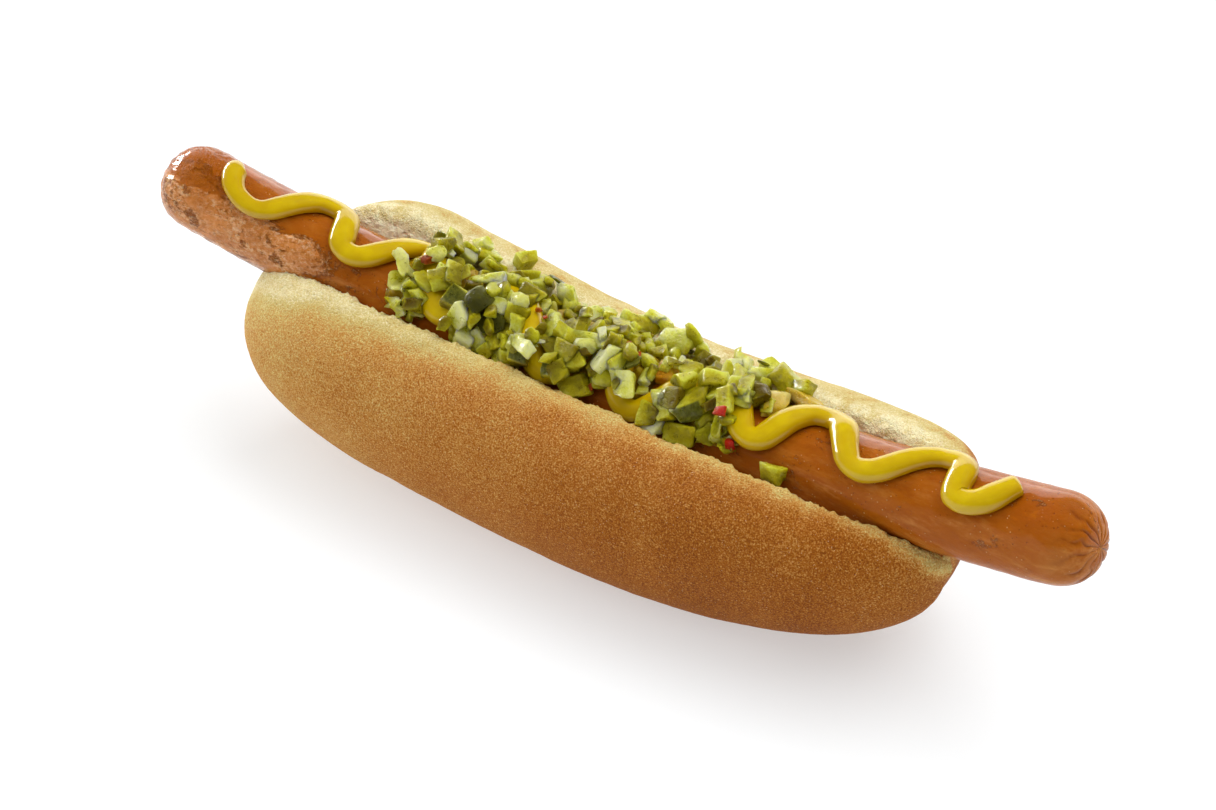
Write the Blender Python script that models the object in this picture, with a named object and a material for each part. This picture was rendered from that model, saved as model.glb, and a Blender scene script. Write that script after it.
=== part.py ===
"""A hot dog: a long sausage in a hinged bun, with a zigzag of mustard and a heap of diced relish.

The bun stands on a small flat spot under its hinge.  The sausage lies along X in the slot and
its ends rise above the middle.  +Z is up, the origin is the middle of the flat spot.
"""
import math

import bmesh
import bpy
from mathutils import Vector

MM = 0.001

# Sausage: a round bar on a shallow parabola, with blunt round ends.
SAUSAGE_LENGTH = 252.5 * MM
SAUSAGE_RADIUS = 10.4 * MM
SAUSAGE_RISE = 14.7 * MM        # ends above the middle
SAUSAGE_SWEEP = -4.9 * MM       # ends towards the near side, -Y
AXIS_HEIGHT = 41.8 * MM         # middle of the sausage above the table
END_POWER = 2.3                 # 2 is a hemisphere, more is blunter

# Bun: two half rounds joined along a hinge below the sausage and leaning outwards.
BUN_DEPTH = 54.0 * MM           # hinge to rim, along the cut face
BUN_RISE = 9.6 * MM             # ends above the middle
BUN_SWEEP = -3.0 * MM           # ends towards the near side, -Y
BUN_YAW = math.radians(-1.4)
BUN_ROLL = math.radians(1.0)
BUN_ROUNDNESS = 2.3             # power of the half round, 2 is an ellipse
HINGE_THICKNESS = 8.0 * MM      # uncut bread left under the slot
REST_TRIM = 0.5 * MM            # bread pressed flat under the hinge line
SLOT_POWER = 1.6                # 1 is a straight V, more closes the slot lower down

# Each half: side, middle, half length, thickness, lean, and the powers of the outlines of its
# thickness, rim and hinge edge, left end first.  Waves lift or lower its rim: each has its
# place along the half from -1 to 1, its spread and its height.
NEAR_HALF = dict(side=-1, middle=-2.4 * MM, reach=94.7 * MM, thickness=24.2 * MM,
                 lean=math.radians(16.0), body=(4.3, 1.85), rim=(2.8, 2.1), hinge=(4.0, 3.0),
                 waves=[])
FAR_HALF = dict(side=1, middle=1.6 * MM, reach=88.3 * MM, thickness=28.5 * MM,
                lean=math.radians(15.6), body=(5.5, 4.5), rim=(5.5, 6.5), hinge=(4.0, 3.0),
                waves=[(0.1, 0.52, -2.7 * MM), (-0.8, 0.14, 1.6 * MM)])

# Mustard: a bead that runs along the top of the sausage from turn to turn.  A turn is its
# place along X and its angle from straight up, towards the near side.
MUSTARD_RADIUS = 2.4 * MM
MUSTARD_LIFT = 0.5 * MM         # air under the bead, so that its straight pieces clear the skin
MUSTARD_TURNS = [(-109.5, 5), (-101, 41), (-86, -27), (-71, 36), (-58, -31), (-43.5, 46),
                 (-30, -25), (-13, 57), (-1, -18), (11.5, 60), (29, -12), (43, 43),
                 (58.5, -20), (73.5, 41), (87.5, -11), (100.5, 41), (108.5, 3)]
MUSTARD_STEPS = 6               # straight pieces between two turns
MUSTARD_TIP = 0.6               # radius of both ends, as a share of the bead's

# Relish: an uneven heap over the middle of the sausage and the edges of the rims.
RELISH_START = -61 * MM
RELISH_END = 45 * MM
RELISH_MIDDLE_HEIGHT = 11.5 * MM    # above the sausage's axis
RELISH_HALF_HEIGHT = 6.8 * MM
RELISH_NEAR = 13.5 * MM             # from the sausage's axis to the heap's near edge
RELISH_FAR = 12.5 * MM
RELISH_ENDS = (5, 5)                # powers of the heap's outline, left end first
RELISH_LUMP = 0.08                  # lumps, as a share of the half width and height
RELISH_WAVES = [(3, 19), (2, -31)]  # the lumps' waves round the heap and along it
# Where the edges swell or shrink: place along X, spread, near edge, far edge, in millimetres.
RELISH_BULGES = [(-41, 9, 0, 5), (-1, 8, 0, 4.5), (8, 6, -5.5, 0), (32, 8, 1, 3.5)]

GAP = 0.4 * MM                  # air between a piece and the neighbour that cuts it
WELD = 0.02 * MM                # corners closer than this are one

LAST_STATION = 0.997            # the last ring, short of the very tip, on a scale of -1 to 1
BUN_STATIONS = 44
OUTER_STEPS = 11                # along a half's outside, from hinge to rim
HINGE_STEPS = OUTER_STEPS / 3   # those over which the two halves part
SLOT_STEPS = 7
SAUSAGE_STATIONS = 30
SAUSAGE_SIDES = 20
MUSTARD_SIDES = 8
RELISH_STATIONS = 26
RELISH_SIDES = 16


def clear_scene():
    for old in list(bpy.data.objects):
        bpy.data.objects.remove(old, do_unlink=True)


def collection(name):
    made = bpy.data.collections.new(name)
    bpy.context.scene.collection.children.link(made)
    return made


def material(name, colour, roughness):
    made = bpy.data.materials.new(name)
    made.use_nodes = True
    shader = made.node_tree.nodes["Principled BSDF"]
    shader.inputs["Base Color"].default_value = (*colour, 1.0)
    shader.inputs["Roughness"].default_value = roughness
    shader.inputs["Metallic"].default_value = 0.0
    return made


def add_object(name, mesh, group, surface=None):
    made = bpy.data.objects.new(name, mesh)
    group.objects.link(made)
    if surface:
        mesh.materials.append(surface)
    return made


def outline(place, powers):
    """Share of full size at a place from -1 to 1 along a rounded outline."""
    power = powers[0] if place < 0 else powers[1]
    return max(1 - abs(place) ** power, 0.0) ** (1 / power)


def stations(count):
    """Places from -1 to 1 that lie closer together towards both ends."""
    return [LAST_STATION * math.sin(math.pi * (i / (count - 1) - 0.5)) for i in range(count)]


def sausage_axis(x):
    """A point of the sausage's centre line."""
    place = x / (SAUSAGE_LENGTH / 2 - SAUSAGE_RADIUS)
    return Vector((x, SAUSAGE_SWEEP * place ** 2, AXIS_HEIGHT + SAUSAGE_RISE * place ** 2))


def loft(name, rings, group, surface=None):
    """A closed body through rings of equal counts of points, with a cap on each end."""
    mesh = bpy.data.meshes.new(name)
    bm = bmesh.new()
    made = [[bm.verts.new(point) for point in ring] for ring in rings]
    for low, high in zip(made, made[1:]):
        for i, corner in enumerate(low):
            j = (i + 1) % len(low)
            bm.faces.new((corner, low[j], high[j], high[i]))
    for ring in (made[0], made[-1]):
        bm.faces.new(ring)
    bmesh.ops.remove_doubles(bm, verts=bm.verts, dist=WELD)
    bmesh.ops.triangulate(bm, faces=bm.faces)
    bmesh.ops.recalc_face_normals(bm, faces=bm.faces)
    bm.to_mesh(mesh)
    bm.free()
    return add_object(name, mesh, group, surface)


def mesh_from_curve(name, points, radii, sides, group, surface=None):
    """A round bar through points, each with its own radius, as a welded mesh."""
    curve = bpy.data.curves.new(name, "CURVE")
    curve.dimensions = "3D"
    curve.bevel_depth = 1.0
    curve.bevel_resolution = sides // 2 - 2
    curve.use_fill_caps = True
    spline = curve.splines.new("POLY")
    spline.points.add(len(points) - 1)
    for knot, point, radius in zip(spline.points, points, radii):
        knot.co = (*point, 1.0)
        knot.radius = radius
    holder = bpy.data.objects.new(name + "_curve", curve)
    group.objects.link(holder)
    bpy.context.view_layer.update()
    mesh = bpy.data.meshes.new_from_object(holder.evaluated_get(bpy.context.evaluated_depsgraph_get()))
    bpy.data.objects.remove(holder, do_unlink=True)
    bm = bmesh.new()
    bm.from_mesh(mesh)
    bmesh.ops.remove_doubles(bm, verts=bm.verts, dist=WELD)
    bmesh.ops.recalc_face_normals(bm, faces=bm.faces)
    bm.to_mesh(mesh)
    bm.free()
    return add_object(name, mesh, group, surface)


def swollen_cutter(name, source, amount, group):
    """A copy of a piece whose skin stands out by an amount, for cutting its neighbours."""
    cutter = add_object(name, source.data.copy(), group)
    cutter.hide_render = True
    cutter.display_type = "WIRE"
    swell = cutter.modifiers.new("swell", "DISPLACE")
    swell.strength = amount
    swell.mid_level = 0.0
    return cutter


def cut(piece, cutter):
    trim = piece.modifiers.new("cut_" + cutter.name, "BOOLEAN")
    trim.operation = "DIFFERENCE"
    trim.solver = "EXACT"
    trim.object = cutter


def keep_largest_body(piece):
    """Apply the cuts and drop the crumbs that they leave beside the main body."""
    bpy.context.view_layer.update()
    mesh = bpy.data.meshes.new_from_object(piece.evaluated_get(bpy.context.evaluated_depsgraph_get()))
    piece.modifiers.clear()
    bm = bmesh.new()
    bm.from_mesh(mesh)
    bmesh.ops.remove_doubles(bm, verts=bm.verts, dist=WELD)
    left = set(bm.verts)
    bodies = []
    while left:
        start = left.pop()
        body, edge = {start}, [start]
        while edge:
            corner = edge.pop()
            for link in corner.link_edges:
                other = link.other_vert(corner)
                if other in left:
                    left.remove(other)
                    body.add(other)
                    edge.append(other)
        bodies.append(body)
    main = max(bodies, key=len)
    bmesh.ops.delete(bm, geom=[v for v in bm.verts if v not in main], context="VERTS")
    bmesh.ops.triangulate(bm, faces=bm.faces)
    bm.to_mesh(mesh)
    bm.free()
    piece.data = mesh


def half_section(half, place):
    """The outer half round of one side at a place, from hinge to rim, and the hinge height."""
    low = BUN_DEPTH / 2 * (1 - outline(place, half["hinge"]))
    high = BUN_DEPTH / 2 * (1 + outline(place, half["rim"]))
    for middle, spread, height in half["waves"]:
        high += height * math.exp(-((place - middle) / spread) ** 2)
    thick = half["thickness"] * outline(place, half["body"])
    sine, cosine = math.sin(half["lean"]), math.cos(half["lean"])
    points = []
    for i in range(OUTER_STEPS + 1):
        turn = math.pi * i / OUTER_STEPS
        along = -math.copysign(abs(math.cos(turn)) ** (2 / BUN_ROUNDNESS), math.cos(turn))
        out = thick * abs(math.sin(turn)) ** (2 / BUN_ROUNDNESS)
        rise = (high - low) * (1 + along) / 2
        points.append((half["side"] * (out * cosine + rise * sine), low + rise * cosine - out * sine))
    return points, low


def bun_point(place, middle, reach, y, z):
    """Carry a section's point to its place along the bowed, turned and rolled bun."""
    y, z = (y * math.cos(BUN_ROLL) - z * math.sin(BUN_ROLL),
            y * math.sin(BUN_ROLL) + z * math.cos(BUN_ROLL))
    x = middle + reach * place
    y += BUN_SWEEP * place ** 2
    z += BUN_RISE * place ** 2 - REST_TRIM
    return Vector((x * math.cos(BUN_YAW) - y * math.sin(BUN_YAW),
                   x * math.sin(BUN_YAW) + y * math.cos(BUN_YAW), z))


def bun_ring(place):
    """One closed section: near rim, round the near half, the hinge, the far half, the slot."""
    ring = []
    shared = [(NEAR_HALF["middle"] + FAR_HALF["middle"]) / 2,
              (NEAR_HALF["reach"] + FAR_HALF["reach"]) / 2]

    def add(half, y, z, own):
        middle = shared[0] + (half["middle"] - shared[0]) * own
        reach = shared[1] + (half["reach"] - shared[1]) * own
        ring.append(bun_point(place, middle, reach, y, z))

    sections = {}
    for half in (NEAR_HALF, FAR_HALF):
        sections[half["side"]], low = half_section(half, place)
    near, far = sections[-1], sections[1]
    for i, (y, z) in reversed(list(enumerate(near))[1:]):
        add(NEAR_HALF, y, z, min(1, i / HINGE_STEPS))
    for i, (y, z) in enumerate(far):
        add(FAR_HALF, y, z, min(1, i / HINGE_STEPS))
    apex = low + HINGE_THICKNESS * outline(place, NEAR_HALF["hinge"])
    for half, rim, shares in ((FAR_HALF, far[-1], range(SLOT_STEPS - 1, -1, -1)),
                              (NEAR_HALF, near[-1], range(1, SLOT_STEPS))):
        for i in shares:
            share = i / SLOT_STEPS
            add(half, rim[0] * share ** SLOT_POWER, apex + (rim[1] - apex) * share, share)
    return ring


def make_bun(group, surface):
    bun = loft("bun", [bun_ring(place) for place in stations(BUN_STATIONS)], group, surface)
    bm = bmesh.new()
    bm.from_mesh(bun.data)
    found = bmesh.ops.bisect_plane(bm, geom=bm.verts[:] + bm.edges[:] + bm.faces[:],
                                   plane_co=(0, 0, 0), plane_no=(0, 0, -1),
                                   clear_outer=True)
    rim = [item for item in found["geom_cut"] if isinstance(item, bmesh.types.BMEdge)]
    bmesh.ops.edgeloop_fill(bm, edges=rim)
    bmesh.ops.recalc_face_normals(bm, faces=bm.faces)
    bmesh.ops.triangulate(bm, faces=bm.faces)
    bm.to_mesh(bun.data)
    bm.free()
    return bun


def make_sausage(group, surface):
    points, radii = [], []
    for place in stations(SAUSAGE_STATIONS):
        x = place * SAUSAGE_LENGTH / 2
        past = max(abs(x) - (SAUSAGE_LENGTH / 2 - SAUSAGE_RADIUS), 0.0) / SAUSAGE_RADIUS
        points.append(sausage_axis(x))
        radii.append(SAUSAGE_RADIUS * (1 - past ** END_POWER) ** (1 / END_POWER))
    return mesh_from_curve("sausage", points, radii, SAUSAGE_SIDES, group, surface)


def mustard_path():
    """Points from turn to turn: the angle eases in and out as a half cosine."""
    height = SAUSAGE_RADIUS + MUSTARD_LIFT + MUSTARD_RADIUS
    path = []
    for (x0, a0), (x1, a1) in zip(MUSTARD_TURNS, MUSTARD_TURNS[1:]):
        for i in range(MUSTARD_STEPS):
            share = i / MUSTARD_STEPS
            ease = (1 - math.cos(math.pi * share)) / 2
            path.append((x0 + (x1 - x0) * share, a0 + (a1 - a0) * ease))
    path.append(MUSTARD_TURNS[-1])
    points = []
    for x, angle in path:
        turn = math.radians(angle)
        points.append(sausage_axis(x * MM) + height * Vector((0, -math.sin(turn), math.cos(turn))))
    return points


def make_mustard(group, surface):
    points = mustard_path()
    radii = [MUSTARD_RADIUS] * len(points)
    radii[0] = radii[-1] = MUSTARD_RADIUS * MUSTARD_TIP
    return mesh_from_curve("mustard", points, radii, MUSTARD_SIDES, group, surface)


def relish_edges(x):
    """How far the heap reaches from the sausage's axis, to the near and the far side."""
    near, far = RELISH_NEAR, RELISH_FAR
    for place, spread, more_near, more_far in RELISH_BULGES:
        swell = math.exp(-((x / MM - place) / spread) ** 2)
        near += more_near * MM * swell
        far += more_far * MM * swell
    return near, far


def relish_ring(place):
    """A lumpy oval round a point above the sausage."""
    x = (RELISH_START + RELISH_END) / 2 + place * (RELISH_END - RELISH_START) / 2
    near, far = relish_edges(x)
    centre = sausage_axis(x) + Vector((0, (far - near) / 2, RELISH_MIDDLE_HEIGHT))
    share = outline(place, RELISH_ENDS)
    ring = []
    for i in range(RELISH_SIDES):
        turn = 2 * math.pi * i / RELISH_SIDES
        lump = 1 + RELISH_LUMP * sum(math.sin(round_it * turn + along * place)
                                     for round_it, along in RELISH_WAVES)
        ring.append(centre + share * lump * Vector((0, (near + far) / 2 * math.cos(turn),
                                                    RELISH_HALF_HEIGHT * math.sin(turn))))
    return ring


def make_relish(group, surface):
    return loft("relish", [relish_ring(place) for place in stations(RELISH_STATIONS)], group, surface)


def main():
    clear_scene()
    parts = collection("hot_dog")
    cutters = collection("cutters")
    crust = material("golden_crust", (0.42, 0.19, 0.05), 0.75)
    skin = material("sausage_skin", (0.33, 0.085, 0.012), 0.3)
    yellow = material("mustard_yellow", (0.58, 0.37, 0.005), 0.25)
    green = material("relish_green", (0.34, 0.3, 0.05), 0.35)

    sausage = make_sausage(parts, skin)
    bun = make_bun(parts, crust)
    mustard = make_mustard(parts, yellow)
    relish = make_relish(parts, green)

    sausage_cutter = swollen_cutter("sausage_cutter", sausage, GAP, cutters)
    cut(bun, sausage_cutter)
    keep_largest_body(bun)
    for neighbour in (bun, sausage, mustard):
        name = neighbour.name + "_clearance"
        cut(relish, swollen_cutter(name, neighbour, GAP, cutters))
    keep_largest_body(relish)
    for piece in (sausage, mustard):
        piece.data.shade_smooth()


main()
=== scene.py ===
"""Looks of a hot dog: bread, sausage, mustard and diced relish, as surfaces worked out with numpy.

Lengths are in metres and +X runs along the sausage, +Y from the near half of the bun to the far
half, +Z up.  The driving sizes repeat those of the solid model that the frame loads.
"""
import math

import bpy
import numpy as np
from bpy.props import FloatProperty, FloatVectorProperty, IntProperty, PointerProperty
from mathutils import Matrix, Vector


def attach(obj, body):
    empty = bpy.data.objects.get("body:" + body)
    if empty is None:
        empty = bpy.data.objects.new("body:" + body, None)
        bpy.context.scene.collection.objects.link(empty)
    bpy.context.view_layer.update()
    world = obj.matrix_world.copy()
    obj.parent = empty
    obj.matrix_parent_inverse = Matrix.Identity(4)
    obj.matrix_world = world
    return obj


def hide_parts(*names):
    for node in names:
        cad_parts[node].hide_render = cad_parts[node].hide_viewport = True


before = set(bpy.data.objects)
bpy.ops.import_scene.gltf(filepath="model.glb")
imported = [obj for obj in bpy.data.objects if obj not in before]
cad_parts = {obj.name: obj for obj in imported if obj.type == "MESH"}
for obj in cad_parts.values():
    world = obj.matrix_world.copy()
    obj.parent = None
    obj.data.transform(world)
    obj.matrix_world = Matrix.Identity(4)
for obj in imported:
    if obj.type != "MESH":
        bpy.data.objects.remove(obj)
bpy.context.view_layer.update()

bl_info = {
    "name": "Hot Dog",
    "version": (1, 0, 0),
    "blender": (4, 5, 0),
    "location": "View3D > Sidebar > Hot Dog",
    "description": "Makes a hot dog with mustard and diced relish",
    "category": "Add Mesh",
}

BODY = "root"
MM = 0.001

# Sausage: a round bar on a shallow parabola, with blunt round ends.
SAUSAGE_LENGTH = 252.5 * MM
SAUSAGE_RADIUS = 10.4 * MM
SAUSAGE_RISE = 14.7 * MM        # ends above the middle
SAUSAGE_SWEEP = -4.9 * MM       # ends towards the near side, -Y
AXIS_HEIGHT = 41.8 * MM         # middle of the sausage above the table
END_POWER = 2.3                 # 2 is a hemisphere, more is blunter

# Bun: two half rounds joined along a hinge below the sausage and leaning outwards.
BUN_DEPTH = 54.0 * MM           # hinge to rim, along the cut face
BUN_RISE = 9.6 * MM             # ends above the middle
BUN_SWEEP = -3.0 * MM           # ends towards the near side, -Y
BUN_YAW = math.radians(-1.4)
BUN_ROLL = math.radians(1.0)
BUN_ROUNDNESS = 2.3             # power of the half round, 2 is an ellipse
HINGE_THICKNESS = 8.0 * MM      # uncut bread left under the slot
REST_TRIM = 0.5 * MM            # bread pressed flat under the hinge line
SLOT_POWER = 1.6                # 1 is a straight V, more closes the slot lower down
END_FILL = 14.0 * MM            # rise of the slot's bottom at both ends
# Each half: side, middle, half length, thickness, lean, and the powers of the outlines of its
# thickness, rim and hinge edge, left end first.  Waves lift or lower its rim: each has its
# place along the half from -1 to 1, its spread and its height.
NEAR_HALF = dict(side=-1, middle=-2.4 * MM, reach=94.7 * MM, thickness=24.2 * MM,
                 lean=math.radians(16.0), body=(4.3, 1.85), rim=(2.8, 2.1), hinge=(4.0, 3.0),
                 waves=[])
FAR_HALF = dict(side=1, middle=1.6 * MM, reach=88.3 * MM, thickness=28.5 * MM,
                lean=math.radians(15.6), body=(5.5, 4.5), rim=(5.5, 6.5), hinge=(4.0, 3.0),
                waves=[(0.1, 0.52, -2.7 * MM), (-0.8, 0.14, 1.6 * MM)])
BUN_STATIONS = 430
SPREAD_POWERS = (4.3, 2.4)      # of the outline along which the stations are evenly spread
OUTER_STEPS = 92
SLOT_STEPS = 20

# Mustard: where the bead turns.  Each turn has its place along X in millimetres, its angle from
# straight up towards the near side in degrees, and the run and climb of the bead through it.
MUSTARD_TURNS = [(-107.4, -10, -9, 30), (-99.7, 34.5, 22, 0), (-82.7, -21.5, 24, 0), (-71.5, 30, 20, 0),
                 (-57, -31, 14, 0), (-43.5, 46, 16, 0), (-30, -25, 16, 0), (-13, 57, 18, 0),
                 (-1, -18, 14, 0), (11.5, 60, 18, 0), (30, -12, 20, 0), (43.5, 42, 17, 0),
                 (57, -17, 25, 0), (72, 38, 21, 0), (90.5, -8, 25, 0), (98.5, 39, 18, 0),
                 (108.8, 1, 6, -36)]

# Relish, in millimetres.  The heap runs between two ends, and from the sausage's axis it reaches
# a little to the near and the far side, with bulges: place, spread, more near, more far.
HEAP = dict(start=-59, end=45, near=-13.0, far=15.0,
            bulges=[(-42, 9, 0, 5.5), (-1, 7, 0, 4.5), (8, 6, 2.5, 0), (32, 7, -1.5, 3.5),
                    (47, 4, 3, -3)])
# Places where the mustard and the sausage show between the dice: place, across, both spreads.
HEAP_GAPS = [(-44.5, -9.0, 4.2, 4.8), (-21, -1.5, 2.8, 5.5), (-14, -12.5, 4.2, 3.0),
             (3.5, -12.5, 5.5, 2.6), (15.5, -12.5, 3.5, 3.5), (17.5, -6.5, 3.5, 4.5),
             (23.5, -3, 4.5, 3.0), (41, -6, 3.4, 6.5)]

SHEET_TURN = 0.39       # turn of a flat bit's first corners, so that none is at its very edge

# The bits that are placed one by one.  Each has its place along X, its angle from straight up towards
# the near side, its lift off the sausage's skin, its length and width, its turn from +X towards
# the near side and its tone from 0, dark, to 1, pale.
DICE = [(-54, -53, 5, 6, 3.5, 60, .8), (-51, -53, 5, 7, 4, 60, .85), (-49, -56, 4, 9, 4.5, 70, 1),
        (-48, -58, 9, 6, 3, 50, .95), (-45, -54, 7, 6, 4, 50, .7), (-43, -54, 5, 6.5, 4.5, 70, .6),
        (-40, -56, 4, 6, 4, 70, .5), (-37, -62, 10, 8, 5, 50, .7), (-46, 18, 6, 5, 5, -50, .4),
        (-44, 10, 6, 6, 4.5, 70, .5), (-36, 26, 6, 4, 3, 80, .4), (-30, 16, 4.5, 5.5, 4, -10, .9),
        (-28, 6, 4, 5, 3, 80, .65), (-37, 40, 6, 5.5, 5, -60, .9), (-35, 34, 5, 5.5, 4, 30, .35),
        (-38, 56, 2, 5, 3.5, 80, .5), (-35, 62, 2.5, 6, 5, -80, .75), (-32, 55, 2, 5, 4, -60, .65),
        (-29, 61, 2, 5.5, 4, -50, .75), (-27, 46, 2, 5, 4.5, -50, .3), (-25, 59, 2, 6, 3, 90, .7),
        (-22, 56, 2.5, 5.5, 5, 80, .5), (-25, 34, 2, 4.5, 4, -40, .3), (-34, -53, 5, 7.5, 5, 50, .6),
        (-29, -55, 6, 8, 5.5, 90, .55), (-26, 11, 3, 7.5, 6, 80, .3), (-22, -56, 6, 6, 4.5, -80, 1),
        (-24, -60, 4, 6.5, 3.5, 70, .6), (-15, 10, 3, 6, 6, -40, .5), (-13, 27, 3, 7, 5, 30, .5),
        (-7, 32, 6, 6.5, 5, 10, .4), (-5, 16, 6, 8.5, 4, -20, .75), (-7, 49, 6, 5, 4, -50, .4),
        (-3, 56, 3, 6.5, 4.5, -30, .5), (-13, -58, 4, 6, 4, 60, .8), (-10, -56, 6, 6.5, 3.5, 60, .65),
        (-6, -57, 4, 8.5, 5, 60, 1), (-2, -58, 7, 9, 6, -70, .65), (2, -70, 10, 7.5, 4, 70, .85),
        (0, -60, 10, 4, 3, 0, .95), (10, -56, 5, 8.5, 7, 10, .6), (6, -59, 3, 7, 4.5, 50, .65),
        (10, 38, 5, 6.5, 5.5, 70, .6), (12, 17, 2, 6, 3, 90, .85), (5, 22, 6, 5.5, 4.5, 80, .7),
        (0, 30, 2.5, 6, 4.5, 80, .45), (2, 41, 2, 4.5, 4, -20, .5), (-5, 36, 5, 5, 4.5, -50, .35),
        (16, -57, 6, 5.5, 3.5, 70, .7), (17, -59, 3, 8, 4.5, 50, .4), (29, 2, 4.5, 7, 4, -30, .7),
        (23, 16, 6, 4.5, 4, -80, .4), (22, 34, 5, 5, 5, 80, .3), (20, 56, 2.5, 7.5, 4.5, -80, .9),
        (18, 54, 5, 5, 4, -90, .35), (27, 33, 3, 7, 6.5, -30, .55), (31, 16, 3, 5, 4.5, -30, .7),
        (26, 64, 2.5, 9, 4.5, -10, .3), (25, -59, 5, 4.5, 3.5, 0, .95), (34, -56, 6, 8.5, 4.5, -30, .8),
        (32, -70, 10, 5, 3.5, -20, .85), (39, -53, 6, 6.5, 5, -10, .6), (43, -54, 5, 7, 3.5, 20, .35),
        (51, 70, 2, 6, 3.5, 0, .35)]
SKINS = [(-58, -51, 6, 6.5, 2.5, 70, .5), (-34, 22, 7, 7, 6, -70, .15), (-30, 33, 3.5, 8, 5, -20, .1),
         (-35, -54, 5, 9, 3.5, 70, .2), (-24, -54, 8, 7.5, 3, -40, .2), (-9, -15, 2, 5.5, 2.5, -30, .1),
         (9, 20, 6.5, 5, 3.5, -20, .2), (13, -56, 5, 5.5, 2.5, 60, .15), (31, -65, 9, 5, 2, -60, .1)]
SHREDS = [(-57, 18, 4.5, 6, 3.5, 30, .85), (-56, 34, 2.5, 5, 5, -90, .7), (-52, 28, 2.5, 6.5, 4, -90, .65),
          (-52, 48, 2, 5, 4, -80, .7), (-55, 59, 2.5, 6.5, 3.5, -10, .8), (-50, 56, 2, 5.5, 4, -10, .6),
          (-18, 36, 5.5, 7, 3, -10, 1), (-19, -58, 4, 6.5, 5.5, -30, .8), (2, -61, 3.5, 4.5, 3, 40, 1),
          (31, 40, 2, 6.5, 3, -60, .4), (32, 55, 1.5, 6, 4.5, -20, .5), (35, 52, 1.5, 4.5, 4, -70, .4),
          (35, 36, 4, 8, 2.5, 80, .5), (38, 57, 1.5, 4.5, 3.5, 10, .55), (27, -59, 7, 8, 4.5, 30, .85)]
PEPPER = [(-52, 6, 6, 4, 2, -60, .35), (6, 5, 6, 4, 2, 20, .3), (8, 9, 5, 2, 1.5, -30, .5),
          (36, 32, 7, 3, 2, -10, .95), (39, 56, 2, 2.5, 2, 80, .95), (-18, 8, 5, 1.5, 1, 40, .6),
          (-21, 2, 4.5, 1.5, 1, 0, .5), (1, 52, 3.5, 1.5, 1, 30, .5)]
ONION = [(16, 7, 2.5, 6, 4.5, 80, .1), (43, -17, 1.5, 8, 5, 70, .8), (46, -53, 3, 9, 5.5, 20, .7)]

# Colours of each kind of relish, from its darkest tone to its palest.
# The pulp's dark colours stand partly for shade in the gaps between the bits: painted shade.
PULP_STOPS = [(0.0, (0.16, 0.07, 0.001)), (0.5, (0.42, 0.26, 0.002)), (1.0, (0.66, 0.53, 0.02))]
FLESH_STOPS = [(0.0, (0.13, 0.085, 0.001)), (0.25, (0.25, 0.205, 0.003)), (0.5, (0.50, 0.43, 0.007)),
               (0.75, (0.70, 0.71, 0.07)), (1.0, (0.90, 0.92, 0.36))]
SHRED_STOPS = [(0.0, (0.22, 0.17, 0.002)), (0.5, (0.56, 0.53, 0.012)), (1.0, (0.90, 0.90, 0.30))]
RIND_STOPS = [(0.0, (0.065, 0.062, 0.004)), (0.4, (0.13, 0.125, 0.010)), (1.0, (0.36, 0.34, 0.10))]
PEPPER_STOPS = [(0.0, (0.16, 0.03, 0.002)), (0.5, (0.42, 0.06, 0.005)), (1.0, (0.55, 0.015, 0.006))]
ONION_STOPS = [(0.0, (0.52, 0.20, 0.001)), (0.5, (0.68, 0.42, 0.01)), (1.0, (0.76, 0.60, 0.14))]

# Lamps: where each stands and its size in metres, its power, and whether it is for gloss alone.
LAMPS = [("key_box", (0.35, 0.55, 1.15), (1.5, 1.2), 16.0, False),
         ("sky_box", (-0.45, -0.35, 1.65), (3.0, 3.0), 34.0, False),
         ("left_box", (-1.0, 0.0, 0.15), (0.7, 0.25), 4.5, False),
         ("back_box", (-0.77, 1.18, 0.48), (4.0, 0.9), 24.0, True),
         ("glint_box", (-0.95, 0.18, 0.33), (0.75, 0.2), 19.0, True)]
LAMP_TARGET = (0, 0, 0.03)
FLOOR_HALF = 1.6
CAMERA_SHIFT = (1.2 * MM, 3.7 * MM)     # to the left and down, off the middle of the sausage


def smooth(value, low, high):
    """Ease from 0 to 1 as a value goes from low to high: three squares less two cubes."""
    share = np.clip((value - low) / (high - low), 0.0, 1.0)
    return share * share * (3 - 2 * share)


def bump_shape(value, middle, spread):
    """A bell of height 1: e to the minus square of the distance from the middle in spreads."""
    return np.exp(-((value - middle) / spread) ** 2)


def hashed(cells, seed):
    """A steady number from -1 to 1 for each whole cell: its numbers times odd constants, mixed."""
    odd = np.array([0x9E3779B1, 0x85EBCA77, 0xC2B2AE3D], np.uint32)
    mixed = (cells.astype(np.uint32) * odd).sum(-1, dtype=np.uint32)
    mixed = mixed + np.uint32((seed * 0x27D4EB2F) & 0xFFFFFFFF)
    for shift, factor in ((15, 0x2C1B3C6D), (12, 0x297A2D39), (15, 1)):
        mixed = (mixed ^ (mixed >> np.uint32(shift))) * np.uint32(factor)
    return mixed / 2.0 ** 31 - 1


def cube_corners(share):
    """Each corner of a cube and its weight at shares of the way across, as products of these."""
    for corner in np.ndindex(2, 2, 2):
        yield corner, np.where(corner, share, 1 - share).prod(-1)


def noise(points, size, seed=0):
    """Smooth noise from -1 to 1: hashed corners of a cubic lattice, blended by an ease curve."""
    scaled = points / size
    cell = np.floor(scaled)
    share = scaled - cell
    share = share * share * (3 - 2 * share)
    cell = cell.astype(np.int64)
    return sum(weight * hashed(cell + corner, seed) for corner, weight in cube_corners(share))


def unit(vectors):
    """Each vector divided by its length."""
    return vectors / np.maximum(np.linalg.norm(vectors, axis=-1, keepdims=True), 1e-12)


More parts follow.
